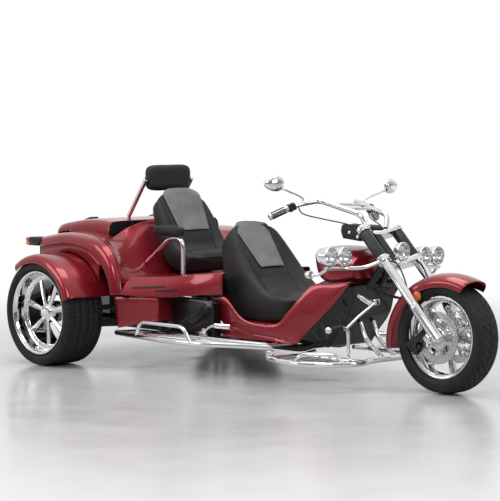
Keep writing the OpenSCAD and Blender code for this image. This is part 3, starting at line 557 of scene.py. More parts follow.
def tyre(r, rim, half, seat, crown, pitches, grooves, lugs):
    """A tyre: a smooth section turned about the axle, sunk where circles and slanted slots cut the tread."""
    s = r - rim
    side = [(rim - 4, seat - 2), (rim + 2, seat + 1), (rim + 0.1 * s, half * 0.86),
        (rim + 0.24 * s, half * 0.95), (rim + 0.44 * s, half), (rim + 0.64 * s, half * 0.985),
        (rim + 0.8 * s, half * 0.93), (rim + 0.9 * s, half * crown * 1.03),
        (rim + 0.965 * s, half * crown * 0.86), (r - 1.2, half * crown * 0.6), (r, 0)]
    line = curve(side, 7)
    line = np.concatenate([line, (line * [1, -1])[-2::-1]])
    a = np.linspace(0, 2 * math.pi, pitches * 8, endpoint=False)[None, :]
    rad, z = line[:, :1], line[:, 1:]
    tread = np.clip((rad - (rim + 0.9 * s)) / (0.05 * s), 0, 1)
    depth = 0 * a + 0 * z
    for middle, width, deep in grooves:
        depth = np.maximum(depth, deep * np.clip(1.5 - np.abs(np.abs(z) - middle) / (width / 2), 0, 1))
    for low, high, slant, wide, deep in lugs:
        wave = np.mod(a * pitches / (2 * math.pi) + slant * np.abs(z) / half + 0.5 * (z > 0), 1)
        slot = np.clip(1.6 - np.abs(wave - 0.5) / (wide / 2), 0, 1) * (np.abs(z) > low) * (np.abs(z) < high)
        depth = np.maximum(depth, deep * slot)
    ridge = lambda share, height: height * np.exp(-(((rad - rim - share * s) / 1.6) ** 2))
    rr = rad - depth * tread
    bulge = np.sign(z) * (ridge(0.3, 1.6) + ridge(0.7, 1.4))
    p = np.stack([rr * np.cos(a), rr * np.sin(a), z + bulge + 0 * a], -1)
    inner = np.stack([(rim - 4) * np.cos(a), (rim - 4) * np.sin(a), 0 * a], -1)
    return grid(np.concatenate([inner, p, inner]), ring=True)


def spokes(count, start, end, low, high, peak, inner, outer, deep, twist=0.0):
    """Star spokes: a ridged section carried out along each radius, its width and height changing evenly."""
    t = np.linspace(0, 1, 10)[:, None]
    w, top = inner + (outer - inner) * t**1.3, low + (high - low) * t**0.8
    across = np.array([-1, -1, -0.86, 0, 0.86, 1, 1, 0.6, -0.6])[None]
    up = np.array([-0.6, -0.12, 0, 1, 0, -0.12, -0.6, -1, -1])[None]
    z = top + np.where(up > 0, peak, deep) * up
    one = capped(np.stack([start + (end - start) * t + 0 * across, w * across, z], -1))
    return [s for i in range(count) for s in turned(one, "z", twist + i * 2 * math.pi / count)]


def studs(count, radius, height, size):
    """A ring of small round-headed rivets."""
    head = [(0.1, size * 0.6), (size * 0.5, size * 0.52), (size * 0.87, size * 0.25), (size, 0), (size, -1)]
    return around(lathe(head, 8), count, radius, height)


def rear_rim():
    """A deep dished rim: its barrel, riveted flange, seven ridged spokes, stepped hub and five bolts."""
    barrel = [(247, 126), (249, 122), (246, 118), (233, 114), (229, 100), (229, -100), (233, -114),
        (246, -118), (247, -126), (238, -126), (224, -116), (221, -60), (220, 38), (196, 40), (194, 47),
        (197, 52), (214, 56), (222, 60), (226, 80), (229, 108), (236, 120), (243, 126)]
    hub = [(19.9, -30), (64, -30), (64, 30), (58, 44), (52, 58), (47, 62), (44, 69), (38, 72), (20, 74),
        (0.1, 74.5)]
    return (
        lathe(barrel, 128, 2.5, closed=True)
        + spokes(7, 40, 204, 54, 46, 7, 15, 21, 16, 0.21)
        + studs(44, 205, 54, 6.4)
        + lathe(hub, 64, 3)
        + around(lathe([(0.1, 8), (6, 8), (7, 6), (7, -4)], 6), 5, 33, 68)
    )


def front_rim():
    """The front rim: its barrel with rolled flanges, a riveted band, seven tapering spokes and a turned hub."""
    barrel = [(221, 60), (223, 57.5), (219, 54), (207, 52), (203, 40), (203, -40), (207, -52), (219, -54),
        (223, -57.5), (221, -60), (213, -59), (200, -52), (196, -44), (188, -20), (188, 20), (196, 44),
        (200, 52), (213, 59)]
    hub = [(12.6, -52), (40, -52), (44, -46), (44, -30), (38, -12), (38, 12), (44, 30), (44, 46), (40, 52),
        (12.6, 52)]
    two_sided = lambda shapes: shapes + turned(shapes, "x", math.pi)
    return (
        lathe(barrel, 112, 2.5, closed=True)
        + turned(two_sided(spokes(7, 30, 192, 16, 12, 5, 13, 20, 22)), "z", 0.3)
        + two_sided(studs(28, 205, 54, 3.6))
        + lathe(hub, 56, 3, closed=True)
    )


def drilled_disc(low, high, thick, rows, count, hole):
    """A brake disc of polar cells, each a square ring of points round a drilled hole."""
    s = np.linspace(-1, 1, 6, endpoint=False)
    sides = (s, -1 + 0 * s), (1 + 0 * s, s), (-s, 1 + 0 * s), (-1 + 0 * s, -s)
    edge = np.concatenate([np.stack(side, -1) for side in sides])
    angle = np.arctan2(edge[:, 1], edge[:, 0])
    band = (high - low) / rows
    row, cell = np.meshgrid(np.arange(rows), np.arange(count), indexing="ij")
    mid = low + band * (row.ravel() + 0.5)
    at = (cell.ravel() + 0.5 * (row.ravel() % 2)) * 2 * math.pi / count
    polar = lambda r, a: np.stack([r * np.cos(a), r * np.sin(a)], -1)
    outer = polar(mid[:, None] + edge[None, :, 0] * band / 2, at[:, None] + edge[None, :, 1] * math.pi / count)
    inner = polar(mid[:, None] + hole * np.cos(angle)[None],
        at[:, None] + hole * np.sin(angle)[None] / mid[:, None])
    layers = [(outer, thick / 2), (inner, thick / 2), (inner, -thick / 2), (outer, -thick / 2)]
    p = np.stack([np.concatenate([q, np.full(q.shape[:2] + (1,), z)], -1) for q, z in layers], 1)
    walls = [s for r in (high, low) for s in lathe([(r, -thick / 2), (r, thick / 2)], count * 12)]
    return [s for q in p for s in grid(q, ring=True)] + walls


def front_discs():
    """Two drilled discs on their carriers: a ring with six arms and a stepped bell."""
    bell = [(18, -27), (56, -27), (58, -3), (64, -2.4), (64, 2.4), (52, 3), (46, 8), (18, 8), (18, -27)]
    one = drilled_disc(98, 140, 5, 3, 40, 3.4) + lathe(bell, 56, 2)
    one += spokes(6, 52, 104, 2, 2, 0.5, 12, 9, 4) + studs(6, 101, 3, 6)
    one = shifted(one, [0, 0, 80])
    return one + turned(one, "x", math.pi)


REAR_TREAD = ((26, 10, 7), (72, 10, 7)), ((80, 122, 0.7, 0.2, 5), (34, 64, 1.2, 0.14, 4))
FRONT_TREAD = ((0, 5, 5),), ((8, 62, 1.9, 0.16, 5),)
REAR_TYRE = tyre(REAR_R, 247, 140, 118, 0.86, 66, *REAR_TREAD)
REAR_RIM = rear_rim()
for side, place in (("right", on_right_wheel), ("left", on_left_wheel)):
    body = f"rear_wheel_{side}"
    piece(f"rear_tyre_{side}_treaded", moved(REAR_TYRE, place), RUBBER, f"rear_tyre_{side}", body)
    piece(f"rear_rim_{side}_dished", moved(REAR_RIM, place), CHROME, f"rear_rim_{side}", body, 30)
for name, shapes, finish, stands_for, sharp in (
    ("front_tyre_treaded", tyre(FRONT_R, 221, 82, 54, 0.72, 40, *FRONT_TREAD), RUBBER, "front_tyre", 38.0),
    ("front_rim_spoked", front_rim(), CHROME, "front_rim", 30),
    ("front_discs_drilled", front_discs(), DISC, "front_discs", 30),
):
    piece(name, moved(shapes, on_front_wheel), finish, stands_for, "front_wheel", sharp)


# Painted panels

APRON = [
    [[305, -585, 748], [245, -520, 758], [195, -420, 768], [170, -300, 812], [165, -150, 843], [165, 0, 845]],
    [[415, -592, 655], [355, -520, 672], [312, -420, 690], [292, -300, 705], [285, -150, 712], [285, 0, 712]],
    [[455, -597, 572], [425, -520, 585], [395, -420, 595], [378, -300, 605], [372, -150, 610], [370, 0, 610]],
    [[470, -600, 505], [466, -520, 507], [462, -420, 506], [458, -300, 505], [455, -150, 505], [455, 0, 505]],
]
SHOULDER = np.array([
    [[-250, -442, 764], [-250, -594, 755], [-252, -634, 740], [-254, -652, 700], [-254, -636, 688]],
    [[-80, -442, 783], [-80, -598, 780], [-80, -638, 764], [-80, -656, 722], [-80, -640, 710]],
    [[60, -442, 782], [60, -598, 783], [60, -638, 766], [60, -656, 724], [60, -640, 712]],
    [[192, -444, 762], [190, -600, 772], [188, -640, 755], [170, -657, 712], [165, -640, 700]],
    [[280, -575, 738], [282, -602, 752], [276, -641, 738], [235, -657, 692], [227, -640, 681]],
    [[352, -585, 695], [364, -604, 710], [352, -642, 697], [305, -657, 648], [295, -640, 637]],
    [[420, -589, 626], [434, -606, 632], [420, -642, 622], [375, -657, 590], [362, -640, 580]],
    [[456, -592, 530], [470, -608, 532], [457, -642, 527], [420, -657, 512], [405, -640, 505]],
    [[466, -593, 440], [480, -608, 441], [470, -642, 441], [440, -657, 442], [425, -640, 442]]])
LOWER_STEP = [
    [[-250, -600, 700], [-252, -628, 690], [-254, -634, 660], [-250, -626, 570]],
    [[-150, -600, 712], [-150, -630, 702], [-150, -636, 680], [-150, -628, 641]],
    [[0, -600, 722], [0, -632, 712], [0, -638, 696], [0, -630, 674]],
    [[120, -600, 716], [120, -632, 708], [122, -638, 690], [120, -630, 654]],
    [[230, -600, 684], [226, -632, 676], [224, -638, 660], [220, -630, 602]],
    [[330, -600, 620], [322, -632, 612], [318, -638, 590], [310, -630, 512]],
]
VALANCE = [
    [[-330, -552, 372], [-372, -500, 372], [-388, -400, 372], [-395, 0, 372]],
    [[-345, -558, 480], [-385, -500, 480], [-399, -400, 480], [-405, 0, 480]],
    [[-350, -560, 598], [-388, -500, 598], [-401, -400, 598], [-407, 0, 598]],
]
BELT = np.array([
    [[478, -616, 441], [476, -590, 482], [474, -530, 535], [474, -440, 544], [474, -300.2, 545]],
    [[600, -552, 434], [600, -528, 488], [600, -474, 540], [600, -420, 547], [600, -300.2, 548]],
    [[750, -480, 434], [750, -462, 500], [750, -428, 552], [750, -390, 557], [750, -300.2, 558]],
    [[900, -402, 450], [900, -396, 512], [900, -380, 566], [900, -362, 573], [900, -300.2, 574]],
    [[1085, -352, 466], [1085, -352, 526], [1085, -346, 580], [1085, -334, 588], [1085, -300.2, 589]]])
SIDE_PANEL = [[[428, -590, 240], [392, -592, 419]], [[560, -545, 268], [560, -546, 420]],
    [[689, -500, 297], [694, -502, 421]]]
TUB_SIDE = [[[975, -331, 400], [975, -331, 446]], [[1073, -330, 295], [1090, -330, 440]],
    [[1200, -328, 272], [1210, -328, 345]], [[1308, -322, 252], [1320, -322, 312]],
    [[1497, -300, 241], [1480, -300, 315]], [[1619, -280, 216], [1560, -285, 385]],
    [[1700, -266, 290], [1632, -268, 462]], [[1790, -250, 370], [1716, -242, 546]],
    [[1880, -232, 457], [1836, -226, 562]], [[1973, -210, 562], [1968, -209, 576]]]
TUB_FLOOR = [[962, 328, 440], [1020, 328, 372], [1080, 327, 315], [1230, 325, 315], [1360, 315, 315],
    [1500, 297, 315], [1560, 283, 345], [1600, 272, 410], [1640, 262, 470], [1690, 243, 515], [1735, 229, 552],
    [1775, 185, 578]]
SILL = [[[1068, -332, 222], [1068, -331, 292]], [[1200, -331, 221], [1200, -330, 270]],
    [[1320, -327, 221], [1320, -325, 249]], [[1470, -310, 222], [1470, -306, 240]],
    [[1590, -291, 214], [1590, -286, 222]]]
RETURN = [[[690, -497, 300], [694, -499, 418]], [[694, -450, 292], [697, -450, 419]],
    [[697, -402, 284], [697.5, -402, 420]]]
CHEEK = [[[1640, -256, 246], [1722, -158, 209]], [[1700, -249, 300], [1769, -158, 203]],
    [[1790, -233, 380], [1822, -158, 268]], [[1880, -215, 466], [1926, -158, 391]],
    [[1946, -190, 540], [1964, -158, 551]]]


def deck_row(x, z, low):
    """One section of the deck: up the box side, round its edge and across to the middle."""
    return [[x, -441, low], [x, -441, z - 62], [x, -427, z - 20], [x, -385, z - 3], [x, -220, z], [x, 0, z]]


def rear_body():
    """The deck and its apron as smooth sheets, with the ribs behind the seat between them."""
    apron = whole(curve(curve(APRON, 8), 6, 1))
    rows = deck_row(-228, 842, 752), deck_row(-110, 856, 764), deck_row(20, 861, 764), deck_row(155, 852, 752)
    deck = whole(curve(curve(rows, 6, 1), 8))
    ribs = [s for i in range(-4, 5) for s in rib(i * 45)]
    return shell(apron, SKIN) + shell(deck, SKIN) + ribs


def rib(y):
    """One rib under the deck's front edge: a wedge with rounded edges."""
    outline = [(40, 800), (40, 848), (158, 848), (220, 776), (220, 772), (150, 772), (40, 800)]
    x, z = bent(outline, 6, 3).T
    return capped(np.stack([np.stack([x, 0 * x + side, z], -1) for side in (y - 5, y + 5)]))


def fender():
    """The grid of a rear fender: its section, with a rolled outer lip, swept 108 degrees about the axle."""
    inner = REAR_R + 29
    section = curve([(inner + 5, -167), (inner + 5, -60), (inner + 5, 60), (inner + 4.5, 107), (inner - 4, 139),
        (inner - 28, 152), (inner - 46, 153.5)], 6)
    a = np.radians(np.linspace(18, 126, 60))[:, None]
    r, z = section[None, :, 0], section[None, :, 1]
    return np.stack([r * np.cos(a), r * np.sin(a) + 0 * z, z + 0 * a], -1)


def nose_ring(x, low, high, half, lean):
    """A section of the nose: a rounded twelve-sided ring between two heights, leaning forward as it rises."""
    q = np.array([(0.55, 0), (0.95, 0.1), (1, 0.4), (0.94, 0.7), (0.7, 0.92), (0.3, 1), (-0.3, 1), (-0.7, 0.92),
        (-0.94, 0.7), (-1, 0.4), (-0.95, 0.1), (-0.55, 0)])
    return np.stack([x - lean * (q[:, 1] - 0.5), q[:, 0] * half, low + q[:, 1] * (high - low)], -1)


def smooth_rings(rings):
    """Closed rings smoothed round, in four steps from each point to the next."""
    rings = curve(np.concatenate([rings[:, -2:], rings, rings[:, :2]], 1), 4, 1)
    return rings[:, 8:-4]


def nose():
    """The tank-shaped nose: rings lofted into a smooth closed form."""
    rings = [nose_ring(1664, 655, 685, 120, 10), nose_ring(1690, 575, 745, 185, 60),
        nose_ring(1790, 552, 756, 212, 40), nose_ring(1890, 560, 738, 195, 20),
        nose_ring(1960, 590, 712, 176, 0)]
    return capped(smooth_rings(curve(rings, 8))[:, :-1])


def front_body():
    """The rider's tub: smooth sides, a floor that rises to the nose, and the nose."""
    side = ruled(TUB_SIDE, 6, 7)
    side[..., 1] -= 4 * np.sin(np.pi * np.linspace(0, 1, 7))
    floor = bent(TUB_FLOOR, 40, 4)
    return both(shell(side, SKIN)) + strip(floor[:, [0, 2]], floor[:, 1], 4) + nose()


def belt_grid():
    """The grid of the belt, with a crease along its shoulder."""
    return curve(creased(BELT, 6, 1, (2,)), 6)


def mid_body():
    """The belt round the passenger's feet and the floor between its two sides."""
    floor = curve([[474, 545], [600, 548], [750, 558], [864, 570]], 5)
    return both(shell(belt_grid(), SKIN)) + strip(floor, 300, SKIN)


def lid_row(x, z, side, low, back):
    """One section over the lid's top: round its edge, which lies further forward, and across to the middle."""
    return [[x + back, -side, low], [x + back * 0.6, -side + 12, z - 22], [x + back * 0.15, -side + 52, z - 3],
        [x, -220, z], [x, 0, z]]


def trunk_lid():
    """The tail lid: its back, rounded top edge and top as one sheet."""
    rows = np.array([
        [[-374, -410, 606], [-390, -398, 606], [-406, -372, 606], [-414, -220, 606], [-414, 0, 606]],
        [[-368, -418, 706], [-386, -404, 708], [-404, -376, 709], [-412, -220, 709], [-412, 0, 709]],
        lid_row(-400, 786, 432, 762, 40), lid_row(-374, 813, 433, 766, 24), lid_row(-310, 829, 434, 776, 0),
        lid_row(-237, 840, 434, 782, 0)], float)
    return shell(curve(curve(whole(rows), 6), 4, 1), SKIN)


def front_fender():
    """The front fender: an arched section carried round the tyre on a flattening arc, with its two brackets."""
    arc = curve([[58, 355], [75, 340], [95, 331], [115, 332], [135, 340], [155, 354], [175, 370],
        [193, 382]], 8)
    section = curve([[-94, -62], [-92, -32], [-74, -9], [-40, 3], [0, 8], [40, 3], [74, -9], [92, -32],
        [94, -62]], 5)
    a, r = np.radians(arc[:, :1]), arc[:, 1:] + section[None, :, 1]
    p = np.stack([FRONT_X + r * np.cos(a), section[None, :, 0] + 0 * a, FRONT_Z + r * np.sin(a)], -1)
    brackets = both(block((26, 52), (91, 112), (262, 288), 3))
    return moved(shell(p, 4.5), steered) + moved(brackets, in_fork)


shoulder = curve(creased(SHOULDER[:, ::-1], 6, 1, (1, 3)), 8)
valance = whole(curve(curve(VALANCE, 6), 5, 1))
piece("rear_body_panel", rear_body(), PAINT, "rear_body")
piece("rear_shoulder_panels", both(shell(shoulder, SKIN)), PAINT, "rear_shoulders")
piece("rear_valance_panel", shell(valance, SKIN), PAINT, "rear_valance")
piece("rear_fender_panels", both(moved(shell(fender(), 5), on_right_wheel)), PAINT, "rear_fenders")
piece("mid_body_panel", mid_body(), PAINT, "mid_body")
piece("side_panel_covers", both(shell(ruled(SIDE_PANEL, 6, 6), SKIN)), PAINT, "side_panels")
piece("front_body_panel", front_body(), PAINT, "front_body")
piece("trunk_lid_panel", trunk_lid(), PAINT, "trunk_lid", "tail_lid")
piece("front_fender_panel", front_fender(), PAINT, "front_fender", "fork")


# Chrome tubes

RAIL_Z, HOOP_Z = 212, 152  # the middles of the rear and the front footboard tubes


def foot_rails():
    """The rear foot rails: an outer and an inner rail, cross tubes, slats and the guard loop."""
    level = lambda *spots: [[x, y, RAIL_Z] for x, y in spots]
    outer = level((415, -590), (700, -636), (1000, -672), (1250, -645), (1410, -560), (1630, -482))
    inner = level((470, -440), (1000, -429), (1560, -400), (1630, -482))
    shapes = bar(bent(outer, 120, 8), 16, 24) + bar(bent(inner, 60, 8), 12)
    shapes += bar(bent([outer[0], [440, -500, RAIL_Z], inner[0]], 40), 12)
    for x, y in ((620, -622), (1060, -664), (1500, -526)):
        shapes += bar([[x, -154, 203.7], [x, y, 206]], 12)
    for s in (0.25, 0.5, 0.75):
        shapes += bar([[612, -436 - 180 * s, 211], [1512, -412 - 110 * s, 211]], 7, 12)
    guard = [[655, -634, RAIL_Z], [690, -640, 296], [1110, -666, 300], [1170, -660, 214]]
    return both(shapes + bar(bent(guard, 60, 8), 11))


def front_hoop():
    """The front hoop: one rail round both footboards, an inner rail, slats and a guard loop on each side."""
    level = lambda *spots: [[x, y, HOOP_Z] for x, y in spots]
    side = level((1625, -482), (1760, -530), (1940, -548), (2085, -440), (2150, -292), (2086, -150), (2086, 0))
    side = bent(side, 90, 8)
    rail = np.concatenate([side[:-1], (side * [1, -1, 1])[::-1]])
    shapes = bar([[1630, -482, 195.6], [1630, -482, 151]], 22)
    shapes += bar(bent(level((1630, -470), (1640, -250), (2060, -250), (2118, -240)), 60), 12)
    for x in (1720, 1800, 1880, 1960, 2040):
        shapes += bar(level((x, -250), (x, -470 if x > 2000 else -525)), 7, 12)
    guard = [[1880, -546, HOOP_Z], [1940, -540, 205], [2085, -425, 205], [2112, -385, HOOP_Z]]
    shapes += bar(bent(guard, 50, 6), 10)
    shapes += bar([[1645, -255, HOOP_Z], [1645, -150, 168]], 12)
    return bar(rail, 16, 24) + both(shapes)


BAR_LINE = [[1980.6, -73.2, 863.2], [1957, -110, 936], [1672, -140, 1006], [1640, -300, 978], [1583, -430, 913]]


def handlebar():
    """The drag bar: two bent tubes from the top yoke and two braces between them."""
    shapes = both(bar(bent(BAR_LINE, 45, 8), 15))
    for x, y, z in ((1750, 117.5, 986.8), (1830, 109.5, 967)):
        shapes += bar([[x, -y, z], [x, y, z]], 9)
    return moved(shapes, steered)


def lamp_bar():
    """The lamp carriers: a bent bar out from the lower yoke on each side, and a stub to the signal."""
    shapes = bar(bent([[2150, -172, 684], [2095, -230, 652], [2038, -320, 648.6], [2038, -470, 648.6]], 40), 11)
    shapes += bar(bent([[2036, -452, 645], [2000, -470, 616], [1980, -486, 610], [1952.5, -486, 610]], 14), 8)
    return moved(both(shapes), steered)


armrest = [[716, -330, 556.2], [716, -330, 766], [600, -330, 766], [384, -330, 612]]
stay = [[200, -182.3, 1100], [28, -182.3, 867.6]]
down = [[1900.8, -50, 342.2], [1940, -50, 250], [2072.6, -50, 161]]
piece("foot_rail_tubes", foot_rails(), CHROME, "footboards")
piece("front_hoop_tubes", front_hoop(), CHROME, "front_hoop")
piece("handlebar_tubes", handlebar(), CHROME, "handlebar", "fork")
piece("lamp_bar_tubes", lamp_bar(), CHROME, "lamp_bar", "fork")
piece("armrest_tubes", both(bar(bent(armrest, 60, 10), 12)), CHROME, "armrest_frames")
piece("headrest_tubes", both(bar(stay, 14)), CHROME, "headrest_stays")
piece("down_tube_pair", both(bar(bent(down, 60), 13)), CHROME, "down_tubes")


# Seats


def arched(line, height):
    """Shares of the full width along a line that starts at the top: a quarter ellipse over so many mm."""
    run = np.r_[0, np.cumsum(np.linalg.norm(np.diff(line, axis=0), axis=1))]
    return np.sqrt(1 - (1 - np.clip(run / height + 0.1, 0, 1)) ** 2)


def off_line(line):
    """The way along a side view line, and the normals on its front side."""
    way = unit(np.gradient(line, axis=0))
    normal = np.stack([-way[:, 1], way[:, 0]], -1)
    return way, normal * np.sign(normal[len(normal) // 2, 0])


def seat_loft(line, widths, bolsters, depths, sections, floor=None, arch=70.0):
    """A padded form: sections square to a line, arched over its top, closed by shrinking rings at each end.

    A section's points are shares of the half width, the bolster's height and the depth.
    """
    line = curve(line, 5)
    k = np.linspace(0, len(widths) - 1, len(line))
    sizes = [np.interp(k, np.arange(len(widths)), np.array(v, float)) for v in (widths, bolsters, depths)]
    w, b, t = (np.convolve(np.pad(v, 3, "edge"), np.ones(7) / 7, "valid") for v in sizes)
    w = w * arched(line, arch)
    q = np.array(sections, float)
    ring = np.stack([w[:, None] * q[None, :, 0], b[:, None] * q[None, :, 1] + t[:, None] * q[None, :, 2]], -1)
    ring = smooth_rings(ring)[:, : 4 * len(sections)]
    way, normal = off_line(line)
    x = line[:, None, 0] + ring[..., 1] * normal[:, None, 0]
    z = line[:, None, 1] + ring[..., 1] * normal[:, None, 1]
    p = np.stack([x, ring[..., 0], z], -1)
    caps = []
    for i, sign in ((0, -1), (-1, 1)):
        mid = p[i].mean(0)
        out = np.array([way[i, 0], 0, way[i, 1]]) * sign * 0.28 * t[i]
        steps = (0.94, 0.45), (0.8, 0.8), (0.55, 0.97), (0.25, 1.0)
        caps.append(np.stack([mid + (p[i] - mid) * size + out * reach for size, reach in steps]))
    p = np.concatenate([caps[0][::-1], p, caps[1]])
    if floor is not None:
        p[..., 2] = np.maximum(p[..., 2], floor)
    return capped(p)


def patch(line, share, top, low, lift, crown):
    """The grid of a panel sewn over a back pad: part of its line, tapering from top to foot, lifted off it."""
    line = curve(line, 8)
    line = line[int(share[0] * len(line)) : int(share[1] * len(line))]
    normal = off_line(line)[1]
    v = np.linspace(-1, 1, 21)[None]
    half = np.linspace(top, low, len(line))[:, None] * arched(line, 60)[:, None]
    h = lift + crown * (1 - (half * v / 165) ** 2 * 0.5)
    p = np.stack([line[:, :1] + h * normal[:, :1], half * v, line[:, 1:] + h * normal[:, 1:]], -1)
    return p[:, ::-1]


def piping(p):
    """A thin sewn cord round the edge of a grid."""
    edge = np.concatenate([p[0, ::-1], p[1:, 0], p[-1, 1:], p[-2::-1, -1]])
    return bar(edge, 2.6, 8, 0.5)


def cushion(x, y, z, power):
    """A stuffed block: a superellipsoid between limits on each axis, pulled in a little towards its corners."""
    lo, hi = limits(x, y, z)
    lon = np.linspace(0, 2 * math.pi, 56, endpoint=False)
    d = sphere(np.linspace(-math.pi / 2, math.pi / 2, 29), lon, lambda v: np.sign(v) * np.abs(v) ** (2 / power))
    swell = 1 - 0.16 * (np.abs(d[..., [1, 2, 0]]) ** 4 * np.abs(d[..., [2, 0, 1]]) ** 4)
    return capped((lo + hi) / 2 + (hi - lo) / 2 * d * swell)


def padded(name, shapes, finish, stands_for, swell=0.0):
    """A stuffed piece: its form blown up by a little pressure as cloth, each move held under a swell."""
    obj = piece(name, shapes, finish, stands_for, sharp=180)
    if swell:
        inflate(obj, swell / 1000, voxel=0.006, pressure=4.0)


def coordinates(mesh):
    """A mesh's points in one row."""
    values = np.empty(len(mesh.vertices) * 3, np.float32)
    mesh.vertices.foreach_get("co", values)
    return values


def inflate(obj, cap, voxel, pressure):
    """The piece remeshed, and cloth under pressure for twenty frames, with the moves capped."""
    scene = bpy.context.scene
    bpy.context.view_layer.objects.active = obj
    remesh = obj.modifiers.new("remesh", "REMESH")
    remesh.mode, remesh.voxel_size = "VOXEL", voxel
    mesh = bpy.data.meshes.new_from_object(obj.evaluated_get(bpy.context.evaluated_depsgraph_get()))
    obj.modifiers.clear()
    obj.data = mesh
    rest = coordinates(mesh)
    cloth = obj.modifiers.new("cloth", "CLOTH").settings
    cloth.quality = 4
    cloth.use_pressure, cloth.uniform_pressure_force = True, pressure
    cloth.effector_weights.gravity = 0
    cloth.tension_stiffness = cloth.compression_stiffness = 15
    for number in range(1, 21):
        scene.frame_set(number)
    blown = coordinates(obj.evaluated_get(bpy.context.evaluated_depsgraph_get()).data)
    obj.modifiers.clear()
    scene.frame_set(1)
    move = (blown - rest).reshape(-1, 3)
    length = np.linalg.norm(move, axis=1, keepdims=True)
    move *= np.minimum(1, cap / np.maximum(length, 1e-9))
    mesh.vertices.foreach_set("co", (rest.reshape(-1, 3) + move).ravel())
    mesh.polygons.foreach_set("use_smooth", np.ones(len(mesh.polygons), bool))
    mesh.update()


def closed_section(half):
    """A section's points down one side, from the middle of its front to that of its back, and up the other."""
    return half + [(-y, b, t) for y, b, t in half[-2:0:-1]]


BUCKET = closed_section([(0, 0, 0), (-0.34, 0.02, 0), (-0.56, 0.2, 0), (-0.72, 0.78, 0), (-0.86, 1, 0),
    (-0.97, 0.7, -0.04), (-1, 0.1, -0.2), (-0.98, 0, -0.55), (-0.92, 0, -0.9), (-0.74, 0, -1), (-0.36, 0, -1),
    (0, 0, -1)])
PAD = closed_section([(0, 1, 0), (-0.4, 0.97, 0), (-0.72, 0.84, 0), (-0.92, 0.45, 0), (-1, 0, -0.2),
    (-0.94, 0, -0.75), (-0.7, 0, -1), (0, 0, -1)])
RIDER_LINE = [[905, 830], [935, 800], [1000, 725], [1080, 630], [1160, 535], [1215, 482], [1270, 452],
    [1350, 440], [1430, 446], [1476, 446]]
RIDER_BACK = [[893, 838], [925, 808], [975, 750], [1035, 678], [1090, 612], [1140, 556], [1170, 528]]
RIDER_CUSHION = [[1232, 478], [1270, 458], [1350, 446], [1430, 450], [1478, 440]]
PILLION_LINE = [[262, 1004], [296, 968], [350, 880], [410, 778], [460, 702], [505, 668], [560, 656], [614, 640]]
PILLION_BACK = [[262, 1016], [294, 988], [340, 910], [390, 822], [435, 745], [462, 706]]
PILLION_CUSHION = [[500, 674], [530, 664], [580, 660], [626, 632]]

rider_bucket = seat_loft(RIDER_LINE, [150, 176, 208, 232, 244, 246, 246, 246, 240, 225],
    [24, 44, 40, 34, 40, 52, 44, 26, 12, 4], [56, 86, 132, 186, 222, 214, 178, 126, 132, 128],
    BUCKET, 316, 80)
rider_pad = seat_loft(RIDER_BACK + RIDER_CUSHION, [146, 154, 160, 156, 146, 136, 128, 130, 142, 154, 156, 146],
    [20, 26, 28, 28, 26, 22, 14, 8, 14, 22, 22, 16], [38, 46, 44, 36, 32, 30, 26, 26, 32, 38, 40, 36],
    PAD)
pillion_shell = seat_loft(PILLION_LINE, [150, 188, 212, 218, 220, 220, 216, 206],
    [4, 12, 24, 32, 36, 34, 24, 12], [44, 62, 76, 88, 105, 112, 104, 86], BUCKET, 551, 80)
pillion_pad = seat_loft(PILLION_BACK + PILLION_CUSHION, [160, 170, 176, 168, 158, 148, 150, 158, 162, 152],
    [18, 26, 28, 28, 24, 14, 8, 14, 20, 14], [34, 42, 38, 34, 30, 26, 26, 30, 34, 32], PAD)
headrest = cushion((152, 226), (-168, 168), (1025, 1187), 5)
armrests = both(cushion((456, 721), (-361, -299), (778, 838.5), 3.6))
rider_insert = patch(RIDER_BACK, (0.04, 0.74), 138, 90, 8, 26)
pillion_insert = patch(PILLION_BACK, (0.04, 0.71), 156, 114, 8, 26)
padded("rider_seat_bucket", rider_bucket, LEATHER, "rider_seat")
padded("rider_seat_pad", rider_pad, LEATHER, (), 2.5)
padded("passenger_seat_shell", pillion_shell, LEATHER, "passenger_seat")
padded("passenger_seat_pad", pillion_pad, LEATHER, (), 2.5)
padded("headrest_cushion", headrest, LEATHER, "headrest", 3)
padded("armrest_cushions", armrests, LEATHER, "armrest_pads", 2)
padded("rider_seat_insert", shell(rider_insert, 3.0), INSERT, ())
padded("passenger_seat_insert", shell(pillion_insert, 3.0), INSERT, ())
piece("seat_piping", piping(rider_insert) + piping(pillion_insert), LEATHER)


# Fork, controls and lamps


def yokes():
    """The two fork yokes: rounded plates with a turned clamp round each leg, and the stem between them."""
    outline = [(-34, -30), (-34, 30), (0, 135), (61, 155), (69, 115), (26, 40), (26, -40), (69, -115),
        (61, -155), (0, -135)]
    outline = rounded(outline, 14)
    shapes = lathe([(0.1, 530), (15, 530), (15, 745), (0.1, 745)], 32)
    bolts = lathe([(0.1, 6), (5.5, 6), (7, 4), (7, -2)], 6)
    for z, h in ((515, 30), (733, 28)):
        clamp = [(25.2, z - 1), (38, z - 1), (38, z + h + 1), (25.2, z + h + 1), (25.2, z - 1)]
        shapes += plate(outline[::-1], z, z + h) + both(shifted(lathe(clamp, 48, 3), LEG))
        shapes += both(along(bolts, (76, -128, z + h / 2), (90, -128, z + h / 2)))
    return moved(shapes, in_fork)


